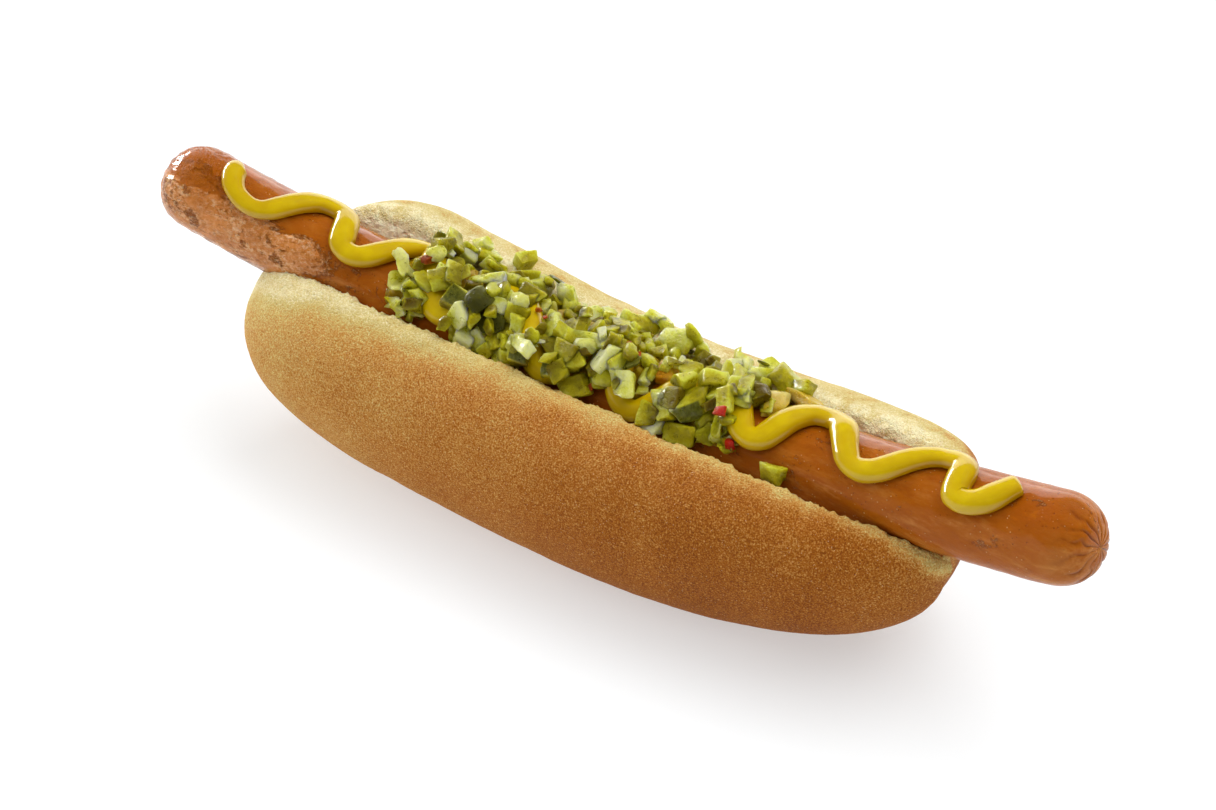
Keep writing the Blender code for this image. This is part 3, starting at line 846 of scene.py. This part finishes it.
def sausage_finish(look):
    """Grilled skin: torn pale patches over roast, partly a painted reflection, with painted glints and
    painted shade in their crinkles; a glossy burnt glaze, streaks, specks that are painted glints, a
    painted orange sheen and painted shade in the puckered end's folds.
    """
    finish = Finish("grilled_skin", IOR=1.4, Subsurface_Weight=0.15, Subsurface_Scale=0.003,
                    Subsurface_Radius=(1.0, 0.3, 0.08), Specular_IOR_Level=0.04, Coat_IOR=1.32,
                    Coat_Roughness=0.09)
    pink, glaze, wet = finish.layer("pink"), finish.layer("glaze"), finish.layer("wet")
    drawn = finish.stretched(0.5, 1, 1)
    broad, patch = finish.grain(9 * MM, 3.0), finish.grain(4 * MM, 6.0, 0.6, drawn, 0.4)
    tear = finish.grain(5.5 * MM, 6.0, 0.62, drawn, 0.9)
    fine = finish.grain(0.9 * MM, 4.0, 0.65)
    crease = finish.grain(1.0 * MM, 3.0, 0.7, finish.stretched(0.6, 1, 1), 0.3)
    streak = finish.grain(2.2 * MM, 4.0, 0.65, finish.stretched(0.25, 1, 1))
    # The pale patches: torn, blistered skin, and on the left end's near flank partly a painted reflection.
    deep = (tear - 0.5) * 3.6 + pink * 1.15 - 0.66 + (fine - 0.5) * 0.9
    torn = deep.ramp(-0.2, 0.2)
    coarse = (1 - deep.ramp(0.15, 0.7) + patch.ramp(0.48, 0.6) * 0.7 + 0.2).clamped()
    # Inside the pale patches the lighter crinkle ridges are painted glints and the darker hollows painted
    # shade.
    pale = finish.coats(look.pink,
                        ((1 - crease.ramp(0.34, 0.54)) * coarse * 0.25, (0.32, 0.090, 0.010)),
                        (crease.ramp(0.5, 0.64) * coarse * 0.85, (0.84, 0.52, 0.28)),
                        ((fine - 0.5) * (coarse * 2.4 + 1.4), (0.92, 0.55, 0.28)),
                        ((0.46 - fine) * (coarse * 2.0 + 1.2), (0.34, 0.095, 0.008)),
                        ((0.5 - patch) * 2.2, (0.44, 0.13, 0.018)))
    dull = streak.ramp(0.45, 0.75) * 0.8 + finish.layer("tip") * patch.ramp(0.36, 0.56) * 0.5
    burnt = (glaze + (patch - 0.5) * 1.8).ramp(0.42, 0.56) * glaze.ramp(0.02, 0.3) * 0.9
    # Pale specks: painted glints on fat droplets.
    specks = finish.cells(1.4 * MM).ramp(0.17, 0.06) * finish.grain(5 * MM).ramp(0.42, 0.6)
    pits = finish.cells(1.1 * MM).ramp(0.2, 0.08) * finish.grain(6 * MM).ramp(0.48, 0.6)
    skin = finish.coats(look.roast,
                        ((broad - 0.35) * 1.3, (0.40, 0.112, 0.004)),
                        ((patch - 0.52) * 3.2, (0.25, 0.052, 0.001)),
                        ((0.44 - patch) * 2.6, (0.48, 0.17, 0.02)),
                        (dull * (1.25 - wet), (0.52, 0.20, 0.04)),
                        # A painted orange sheen near the right end.
                        (finish.layer("glow") * 0.75, (0.34, 0.075, 0.001)),
                        (torn * (broad * 1.2 + 0.25), pale),
                        # Darker in the folds of the puckered end: painted shade.
                        (finish.layer("crease") * 0.65, (0.15, 0.028, 0.002)),
                        (burnt, look.glaze),
                        (specks * 0.6, (0.85, 0.50, 0.20)),
                        (pits * 0.45, (0.13, 0.022, 0.001)))
    finish.link("Base Color", skin)
    finish.link("Roughness", 0.36 + patch * 0.16)
    dry = glaze.ramp(0.6, 1.0) * (1 - crease.ramp(0.46, 0.53)) * 0.92
    finish.link("Coat Weight", (wet + glaze * 0.2 + torn * 0.3).clamped() * (1 - dry))
    rough = (torn * 0.6 + glaze * 0.6).clamped()
    relief = patch * (0.5 + rough * 1.6) + crease * (0.35 + torn * coarse * 1.8) + torn * 0.7
    relief = relief + fine * (0.4 + rough + glaze.ramp(0.6, 1.0) * 1.6)
    finish.bump(relief + specks * 0.6 - pits * 0.6, 0.42 * MM)
    return finish.material


def mustard_finish(look):
    """Glossy opaque paste, slightly uneven and deeper yellow low on its sides, where the deeper yellow is
    painted shade.
    """
    finish = Finish("yellow_mustard", IOR=1.4, Subsurface_Weight=0.25, Subsurface_Scale=0.002,
                    Subsurface_Radius=(1.0, 0.7, 0.05), Specular_IOR_Level=0.02, Coat_Weight=1.0,
                    Coat_IOR=1.45, Coat_Roughness=0.12)
    streak, fine = finish.grain(5 * MM, 3.0), finish.grain(0.5 * MM)
    finish.link("Base Color", finish.coats(look.yellow, (streak.ramp(0.35, 0.7), (0.60, 0.43, 0.0)),
                                           (finish.layer("low"), (0.43, 0.23, 0.0))))
    finish.link("Roughness", 0.4 + fine * 0.12)
    finish.bump(fine * 0.4 + streak, 0.12 * MM, 0.5)
    return finish.material


def relish_finish(name, stops):
    """Wet, half-clear pickle: a tone for each bit, fibres and darker skin on one face."""
    finish = Finish(name, IOR=1.36, Subsurface_Weight=0.9, Subsurface_Scale=0.004,
                    Subsurface_Radius=(1.0, 1.0, 0.10), Specular_IOR_Level=0.05,
                    Coat_IOR=1.4, Coat_Roughness=0.07, Transmission_Weight=0.32)
    tone, skin = finish.layer("tone"), finish.layer("skin")
    cloud, fibre = finish.grain(2.2 * MM, 3.0, 0.6), finish.grain(0.8 * MM, 4.0, 0.7, None, 0.6)
    flesh = finish.colours(tone + (cloud - 0.5) * 0.6 + (fibre - 0.5) * 0.4, stops)
    rind = finish.coats((0.06, 0.065, 0.004), (fibre.ramp(0.35, 0.7), (0.17, 0.18, 0.015)))
    finish.link("Base Color", finish.coats(flesh, (skin * 0.9, rind)))
    finish.link("Roughness", 0.2 + cloud * 0.2)
    finish.link("Coat Weight", finish.grain(1.3 * MM).ramp(0.46, 0.62) * 0.65 + 0.04)
    finish.bump(cloud + fibre * 0.7, 0.5 * MM)
    return finish.material


class HOTDOG_OT_bun(bpy.types.Operator):
    """Make the bread: two half rounds with ragged rims round a slot"""
    bl_idname = "hotdog.bun"
    bl_label = "Bun"

    spacing = 0.42 * MM     # between the grid's points near the rims

    def execute(self, context):
        look = context.scene.hotdog_bun
        rings, edge, side, cut, place = bun_rings()
        near = side < 0
        rounds = int(2 * (look.rim_radius / self.spacing) ** 2)
        rings = soften(rings, 0.9 * bump_shape(edge, 0, 5 * MM), rounds)
        swell = (noise(rings, 22 * MM, 1) + noise(rings, 7 * MM, 2) * 0.3) * look.swells
        rim = bump_shape(edge, 0, np.where(near, 3.2, 2.6) * MM)
        scallop = noise(rings, 11 * MM, 3) * 0.7 + noise(rings, 5 * MM, 4) * 0.5
        knob = noise(rings, 2.3 * MM, 5) * 0.8 + np.abs(noise(rings, 1.3 * MM, 6)) * 1.1
        knob = (knob + scallop) * look.knobs * np.where(near, 1.0, 0.9) * rim
        crumbs = np.abs(noise(rings, 0.9 * MM, 8)) * 0.9 * look.knobs
        crumbs = crumbs * bump_shape(edge, 0, 1.8 * MM)
        knob = knob + crumbs * np.where(near, 1.3, 0.4)
        dust = noise(rings, 1.1 * MM, 7) * 0.05 * MM
        crease = 1 - np.abs(noise(rings * np.array([1, 0.4, 0.4]), 4.5 * MM, 9))
        dust = dust - 0.35 * MM * crease ** 6 * bump_shape(edge, 6 * MM, 5 * MM) * near
        rings = rings + grid_normals(rings) * (swell + knob + dust)[..., None]
        rings = clear_of_sausage(rings, 0.15 * MM)
        rings[..., 2] = np.maximum(rings[..., 2], 0)
        place = place[:, None]
        inside = cut * (1 - smooth(np.abs(place), 0.86, 0.96))
        layers = {"bake": self.baking(rings, edge, place),
                  "cut": inside * smooth(edge, 1.0 * MM, 2.6 * MM),
                  # deep: how far down the slot, more towards the right; it darkens the crumb there as
                  # painted shade.
                  "deep": inside * smooth(edge, 2 * MM, 9 * MM) * smooth(place, -0.6, 0.5)}
        ring_piece("bun_bread", rings, layers, crust_finish(look), "bun")
        return {"FINISHED"}

    @staticmethod
    def baking(rings, edge, place):
        """How brown the crust is: pale from the rim down, browner low and to the right, partly as painted
        shade; paler at the near half's left end as painted light, and the far half pale out to its
        silhouette, partly as a painted sheen.
        """
        ragged = noise(rings, 9 * MM, 11) * 1.3 * MM + noise(rings, 2.6 * MM, 12) * 1.0 * MM
        right = smooth(place, -0.75, 0.8)
        out = edge + ragged
        band = (9 - 6 * right) * MM
        # Browner to the right and further from the rim: baking, and partly painted shade.
        near = 0.11 + 0.17 * right + (0.26 - 0.05 * right) * smooth(out, 0.25 * band, band + 3 * MM)
        near = near + (0.08 + 0.06 * right) * smooth(out, 8 * MM, 42 * MM) + 0.16 * right
        near = near + 0.03 * bump_shape(place, 0.0, 0.4)
        near = near - 0.18 * right ** 2 * bump_shape(out, 0, 2.6 * MM)
        near = near + 0.05 * noise(rings * np.array([1, 0.35, 0.35]), 7 * MM, 15)
        # Paler towards the near half's left end, here and in the least level below: painted light.
        near = near - 0.16 * smooth(-place, 0.5, 1) * (1 - 0.75 * smooth(out, 7 * MM, 20 * MM))
        palest = 0.07 - 0.05 * smooth(-place, 0.8, 0.97) * smooth(out, 5 * MM, 10 * MM)
        near = np.maximum(near, palest)
        mottle = smooth(noise(rings, 3.0 * MM, 13) + 0.7 * noise(rings, 1.3 * MM, 14), -0.2, 0.9)
        mottle = mottle * (1 - 0.6 * smooth(out, 14 * MM, 28 * MM))
        far = 0.03 + 0.12 * mottle + 0.12 * smooth(out, 2 * MM, 8 * MM)
        end = smooth(np.abs(place), 0.78, 0.97)
        far = far + 0.12 * end * smooth(place, 0, 0.5)
        # Brown only far from the rim, so that the far half stays pale out to its silhouette: partly a
        # painted sheen.
        far = far + (0.42 + 0.1 * right) * smooth(out, (23 - 18 * end) * MM, (42 - 20 * end) * MM)
        share = smooth(rings[..., 1], -5 * MM, 5 * MM)
        return np.clip(near + (far - near) * share, 0, 1)


class HOTDOG_OT_sausage(bpy.types.Operator):
    """Make the sausage: a blistered bar with a blunt end and a puckered end"""
    bl_idname = "hotdog.sausage"
    bl_label = "Sausage"

    stations = 760
    around = 126
    fold_count = 13     # round the puckered end

    def execute(self, context):
        look = context.scene.hotdog_sausage
        body = SAUSAGE_LENGTH / 2 - SAUSAGE_RADIUS

        def radius_at(place):
            """The full radius, then over the last one a super-ellipse down to a blunt end."""
            past = np.maximum(np.abs(place) * SAUSAGE_LENGTH / 2 - body, 0) / SAUSAGE_RADIUS
            return SAUSAGE_RADIUS * np.maximum(1 - past ** END_POWER, 0) ** (1 / END_POWER)

        place = even_places(self.stations, SAUSAGE_LENGTH / 2, radius_at)
        x = (place * SAUSAGE_LENGTH / 2)[:, None] + np.zeros(self.around)
        angle = np.linspace(-math.pi, math.pi, self.around, endpoint=False) + np.zeros_like(x)
        radius = radius_at(place)[:, None] + np.zeros_like(x)
        skin = sausage_point(x, angle, radius)
        left = smooth(-x, 52 * MM, 82 * MM)
        reach = 3.5 * np.abs(noise(skin * np.array([0.3, 1, 1]), 2.5 * MM, 29))
        tip = smooth(x + reach * MM, 120 * MM, 126 * MM)
        lumps = noise(skin, 16 * MM, 21) * 0.16 * MM + noise(skin, 6 * MM, 22) * 0.05 * MM
        blister = np.maximum(noise(skin, 2.6 * MM, 23) + 0.3 * noise(skin, 1.2 * MM, 24), -0.2)
        wrinkle = 1 - np.abs(noise(skin * np.array([0.6, 1, 1]), 2.0 * MM, 25))
        relief = lumps + left * (blister * 1.1 + wrinkle * 0.8) * look.blisters
        relief = relief + (1 - left) * noise(skin, 2.4 * MM, 26) * 0.4 * look.blisters
        pucker = np.abs(np.sin(angle * self.fold_count / 2 + 1.6 * noise(skin, 3 * MM, 27)))
        folds = tip * (1 - pucker) ** 3 * (0.15 + 0.6 * np.abs(noise(skin, 4 * MM, 28)))
        relief = relief - folds * MM
        relief = relief - smooth(-x, 121 * MM, 126.5 * MM) * 0.5 * MM * (1 - wrinkle)
        skin = skin + grid_normals(skin) * relief[..., None]
        layers = self.roasting(skin, x, np.degrees(angle))
        # crease: the folds of the puckered end, darkened in the skin's colour as painted shade.
        layers["crease"] = np.clip(4 * folds, 0, 1)
        layers["tip"] = smooth(x + 2 * MM * noise(skin, 3 * MM, 30), 115 * MM, 121 * MM)
        ring_piece("sausage_skin", skin, layers, sausage_finish(look), "sausage")
        return {"FINISHED"}

    @staticmethod
    def roasting(skin, x, angle):
        """Where the skin is pale and blistered, partly a painted reflection, and where it is burnt and
        glossy, with a painted orange sheen near the right end.
        """
        # Pale on the left end's near flank: blistered skin and partly a painted reflection.
        pink = smooth(-x, 58 * MM, 86 * MM) * smooth(angle, 0, 40) * (1 - smooth(angle, 100, 150))
        pink = pink + 0.6 * smooth(-x, 108 * MM, 120 * MM) * smooth(np.abs(angle), 20, 60)
        pink = pink + 0.35 * smooth(-x, 40 * MM, 90 * MM) * smooth(-angle, 20, 60)
        bare = 0.9 * bump_shape(x, -84 * MM, 9 * MM) * bump_shape(angle, 22, 24)
        glaze = smooth(-x, 98 * MM, 112 * MM) * (1 - smooth(np.abs(angle - 5), 25, 60))
        glaze = glaze + 0.6 * bump_shape(x, -72 * MM, 9 * MM) * bump_shape(angle, 25, 22)
        # glow: a painted orange sheen near the right end, where the skin is also glazed and glossier.
        glow = bump_shape(x, 115 * MM, 9 * MM) * bump_shape(angle, 30, 34)
        glaze = glaze + 0.3 * glow
        wet = 1 - 0.6 * smooth(angle, 25, 70)
        wet = wet - 0.55 * smooth(x, 55 * MM, 85 * MM) * smooth(-angle, -5, 30)
        return {"pink": np.clip(pink - bare, 0, 1), "glaze": np.clip(glaze, 0, 1),
                "wet": wet + (1.25 - wet) * glow, "glow": glow}


class HOTDOG_OT_mustard(bpy.types.Operator):
    """Make the zigzag bead of mustard along the top of the sausage"""
    bl_idname = "hotdog.mustard"
    bl_label = "Mustard"

    steps = 84                  # between two turns
    around = 30
    waist = 1.6 * MM            # height of the bead's widest level above the skin
    bite = 0.1 * MM             # of the bead's underside into the skin
    start_round = 2.9 * MM
    end_round = 1.6 * MM

    def execute(self, context):
        look = context.scene.hotdog_mustard
        place, across = self.route()
        step = np.concatenate([[0], np.cumsum(np.hypot(np.diff(place), np.diff(across)))])
        even = np.linspace(0, step[-1], len(step))
        place, across = np.interp(even, step, place), np.interp(even, step, across)
        left_over = step[-1] - even
        ahead = unit(np.stack([np.gradient(place), np.gradient(across)], -1))
        size = self.sizes(place, even, left_over)
        spread = size * (1 + look.slump * smooth(np.abs(ahead[:, 1]), 0.3, 1.0))
        turn = np.linspace(0, 2 * math.pi, self.around, endpoint=False)
        # A section is a half round on a fuller belly: powers of the sine and cosine of the turn.
        side, rise = np.cos(turn), np.sin(turn)
        out = spread[:, None] * (np.sign(side) * np.abs(side) ** 0.9 * look.width / 2)
        height = np.where(rise > 0, look.height - self.waist, self.waist + self.bite)
        height = height * np.sign(rise) * np.abs(rise) ** np.where(rise > 0, 1.0, 0.55)
        lift = self.waist * np.sqrt(size)[:, None] + size[:, None] * height
        x = place[:, None] - ahead[:, 1:] * out
        sweep = across[:, None] + ahead[:, :1] * out
        bead = sausage_point(x, sweep / (SAUSAGE_RADIUS + self.waist), SAUSAGE_RADIUS + lift)
        # low: lower on the bead's sides the yellow turns deeper and more orange, as painted shade.
        layers = {"low": 1 - smooth(lift, self.waist, look.height + 0.3 * MM)}
        ring_piece("mustard_bead", bead, layers, mustard_finish(look), "mustard")
        return {"FINISHED"}

    def sizes(self, place, even, left_over):
        """Share of full size along the bead: uneven, round at its start and blunt at its end."""
        wobble = np.stack([even, even * 0, even * 0], -1)
        swell = 1 + 0.07 * noise(wobble, 9 * MM, 31) + 0.03 * noise(wobble, 3 * MM, 32)
        start = np.sqrt(1 - np.maximum(1 - even / self.start_round, 0) ** 2)
        end = 1 - np.maximum(1 - left_over / self.end_round, 0) ** 3
        size = swell * start * np.sqrt(end) * (1 - 0.12 * smooth(-left_over, -9 * MM, 0))
        return size * (1 - 0.1 * smooth(-place, 74 * MM, 96 * MM))

    def route(self):
        """The bead's way over the unrolled skin: a cubic Hermite curve through the turns."""
        turns = np.array(MUSTARD_TURNS, float)
        arm = SAUSAGE_RADIUS + self.waist
        knots = np.stack([turns[:, 0] * MM, np.radians(turns[:, 1]) * arm], -1)
        runs = np.stack([turns[:, 2] * MM, np.radians(turns[:, 3]) * arm], -1)
        t = np.linspace(0, 1, self.steps, endpoint=False)[None, :, None]
        a, b, run_a, run_b = knots[:-1, None], knots[1:, None], runs[:-1, None], runs[1:, None]
        way = (a * (2 * t ** 3 - 3 * t ** 2 + 1) + b * (3 * t ** 2 - 2 * t ** 3)
               + run_a * (t ** 3 - 2 * t ** 2 + t) + run_b * (t ** 3 - t ** 2))
        return np.concatenate([way.reshape(-1, 2), knots[-1:]]).T


class HOTDOG_OT_relish(bpy.types.Operator):
    """Heap the relish: a core of pulp, the chosen bits kind by kind, and small bits between them"""
    bl_idname = "hotdog.relish"
    bl_label = "Relish"

    chosen = [("onion", "chunk", ONION, dict(thick=0.5, tilt=0.12, bend=0.1)),
              ("flesh", "chunk", DICE, dict(rind=0.2)),
              ("shreds", "leaf", SHREDS, dict(thick=0.4, tilt=0.4, ragged=0.6)),
              ("skin", "leaf", SKINS, dict(thick=0.28, ragged=0.15, bend=0.16)),
              ("pepper", "chunk", PEPPER, dict(ragged=0.2))]
    finishes = [("flesh", "diced_pickle", FLESH_STOPS), ("shreds", "pickle_shreds", SHRED_STOPS),
                ("skin", "pickle_skin", RIND_STOPS), ("pepper", "red_pepper", PEPPER_STOPS),
                ("onion", "amber_onion", ONION_STOPS)]

    def execute(self, context):
        look = context.scene.hotdog_relish
        ground = Ground()
        for name in ("bun_bread", "sausage_skin", "mustard_bead"):
            mesh = bpy.data.objects[name].data
            points = np.empty(len(mesh.vertices) * 3, np.float32)
            mesh.vertices.foreach_get("co", points)
            ground.lay(points.reshape(-1, 3).astype(float))
        ground.close()
        heap = Heap(ground, look.seed)
        heap.core(relish_finish("pickle_pulp", PULP_STOPS), look.depth)
        for kind, shape, bits, manner in self.chosen:
            for bit in bits:
                heap.put(kind, shape, bit, **manner)
        heap.strew("flesh", "chunk", look.bits, (3.4, 5.2), 1.6 * MM, tilt=0.35, ragged=0.26, rind=0.12)
        heap.strew("shreds", "scrap", look.pulp // 2, (2.8, 4.4), 1.4 * MM, tilt=0.5, ragged=0.4)
        heap.strew("flesh", "chunk", look.pulp, (2.0, 3.2), 1.0 * MM, tilt=0.5, ragged=0.28)
        for kind, name, stops in self.finishes:
            heap.piece(kind, relish_finish(name, stops))
        return {"FINISHED"}


class HOTDOG_OT_stage(bpy.types.Operator):
    """Set the pale floor, the soft studio light and the camera"""
    bl_idname = "hotdog.stage"
    bl_label = "Stage"

    def execute(self, context):
        scene = context.scene
        self.floor(scene)
        self.sky(scene)
        self.lamps(scene)
        self.camera(scene, scene.hotdog_stage)
        scene.view_settings.view_transform = "Standard"
        return {"FINISHED"}

    @staticmethod
    def floor(scene):
        """A pale square that glows more towards the horizon, where it meets the sky."""
        mesh = bpy.data.meshes.new("floor")
        corners = [(x * FLOOR_HALF, y * FLOOR_HALF, 0) for x, y in ((-1, -1), (1, -1), (1, 1), (-1, 1))]
        mesh.from_pydata(corners, [], [(0, 1, 2, 3)])
        floor = bpy.data.objects.new("floor", mesh)
        finish = Finish("pale_floor", Roughness=0.8, Specular_IOR_Level=0.0, Emission_Strength=1.0)
        away = finish.node("ShaderNodeVectorMath", {"operation": "LENGTH"}, {0: finish.at}, "Value")
        glow = finish.coats((0.48, 0.48, 0.48), (away.ramp(0.5, 1.3), (0.9, 0.9, 0.9)))
        finish.link("Emission Color", glow)
        paint = finish.coats((0.52, 0.54, 0.55), (finish.grain(0.8), (0.54, 0.56, 0.57)))
        finish.link("Base Color", paint)
        mesh.materials.append(finish.material)
        scene.collection.objects.link(floor)

    @staticmethod
    def sky(scene):
        """Pale at the horizon and dim overhead, so that reflections have depth."""
        scene.world = bpy.data.worlds.new("studio")
        sky = Nodes(scene.world, "Background")
        sky.shader.inputs["Color"].default_value = (1.0, 1.0, 1.0, 1.0)
        way = sky.node("ShaderNodeTexCoord", {}, {}, "Generated")
        height = sky.node("ShaderNodeSeparateXYZ", {}, {0: way}, "Z")
        sky.link("Strength", height.ramp(0.1, 0.3, 1.0, 0.06))

    @staticmethod
    def lamps(scene):
        """Each lamp either lights the object or only shines in its gloss."""
        for name, place, size, power, gloss in LAMPS:
            lamp = bpy.data.lights.new(name, "AREA")
            lamp.shape = "RECTANGLE"
            lamp.size, lamp.size_y = size
            lamp.energy = power
            holder = bpy.data.objects.new(name, lamp)
            holder.location = place
            holder.visible_diffuse = not gloss
            holder.visible_glossy = gloss
            ahead = Vector(LAMP_TARGET) - Vector(place)
            holder.rotation_euler = ahead.to_track_quat("-Z", "Y").to_euler()
            scene.collection.objects.link(holder)

    @staticmethod
    def camera(scene, look):
        """Look down on the sausage, whose middle stands a little off the middle of the view."""
        turn, tilt = look.azimuth, look.elevation
        back = Vector((math.sin(turn) * math.cos(tilt), -math.cos(turn) * math.cos(tilt),
                       math.sin(tilt)))
        right = Vector((math.cos(turn), math.sin(turn), 0))
        up = back.cross(right)
        lens = bpy.data.cameras.new("camera")
        lens.lens = look.lens
        lens.sensor_width = 36.0
        lens.clip_end = 20.0
        camera = bpy.data.objects.new("camera", lens)
        across, down = CAMERA_SHIFT
        place = Vector((0, 0, AXIS_HEIGHT)) + back * look.distance - right * across - up * down
        axes = Matrix((right, up, back)).transposed().to_4x4()
        camera.matrix_world = Matrix.Translation(place) @ axes
        scene.collection.objects.link(camera)
        scene.camera = camera


class VIEW3D_PT_hotdog(bpy.types.Panel):
    """A button for each piece, with its settings"""
    bl_label = "Hot Dog"
    bl_space_type = "VIEW_3D"
    bl_region_type = "UI"
    bl_category = "Hot Dog"

    def draw(self, context):
        for operator, group, settings in PIECES:
            box = self.layout.box()
            box.operator(operator.bl_idname)
            for name in settings.__annotations__:
                box.prop(getattr(context.scene, group), name)


# Each piece's operator, and the name and the class of its settings, in the order of making.
PIECES = [(HOTDOG_OT_bun, "hotdog_bun", HotDogBun),
          (HOTDOG_OT_sausage, "hotdog_sausage", HotDogSausage),
          (HOTDOG_OT_mustard, "hotdog_mustard", HotDogMustard),
          (HOTDOG_OT_relish, "hotdog_relish", HotDogRelish),
          (HOTDOG_OT_stage, "hotdog_stage", HotDogStage)]


def register():
    for operator, group, settings in PIECES:
        bpy.utils.register_class(settings)
        setattr(bpy.types.Scene, group, PointerProperty(type=settings))
        bpy.utils.register_class(operator)
    bpy.utils.register_class(VIEW3D_PT_hotdog)


def unregister():
    bpy.utils.unregister_class(VIEW3D_PT_hotdog)
    for operator, group, settings in reversed(PIECES):
        bpy.utils.unregister_class(operator)
        delattr(bpy.types.Scene, group)
        bpy.utils.unregister_class(settings)


def main():
    register()
    for operator, _, _ in PIECES:
        family, name = operator.bl_idname.split(".")
        getattr(getattr(bpy.ops, family), name)()


if __name__ == "__main__":
    main()
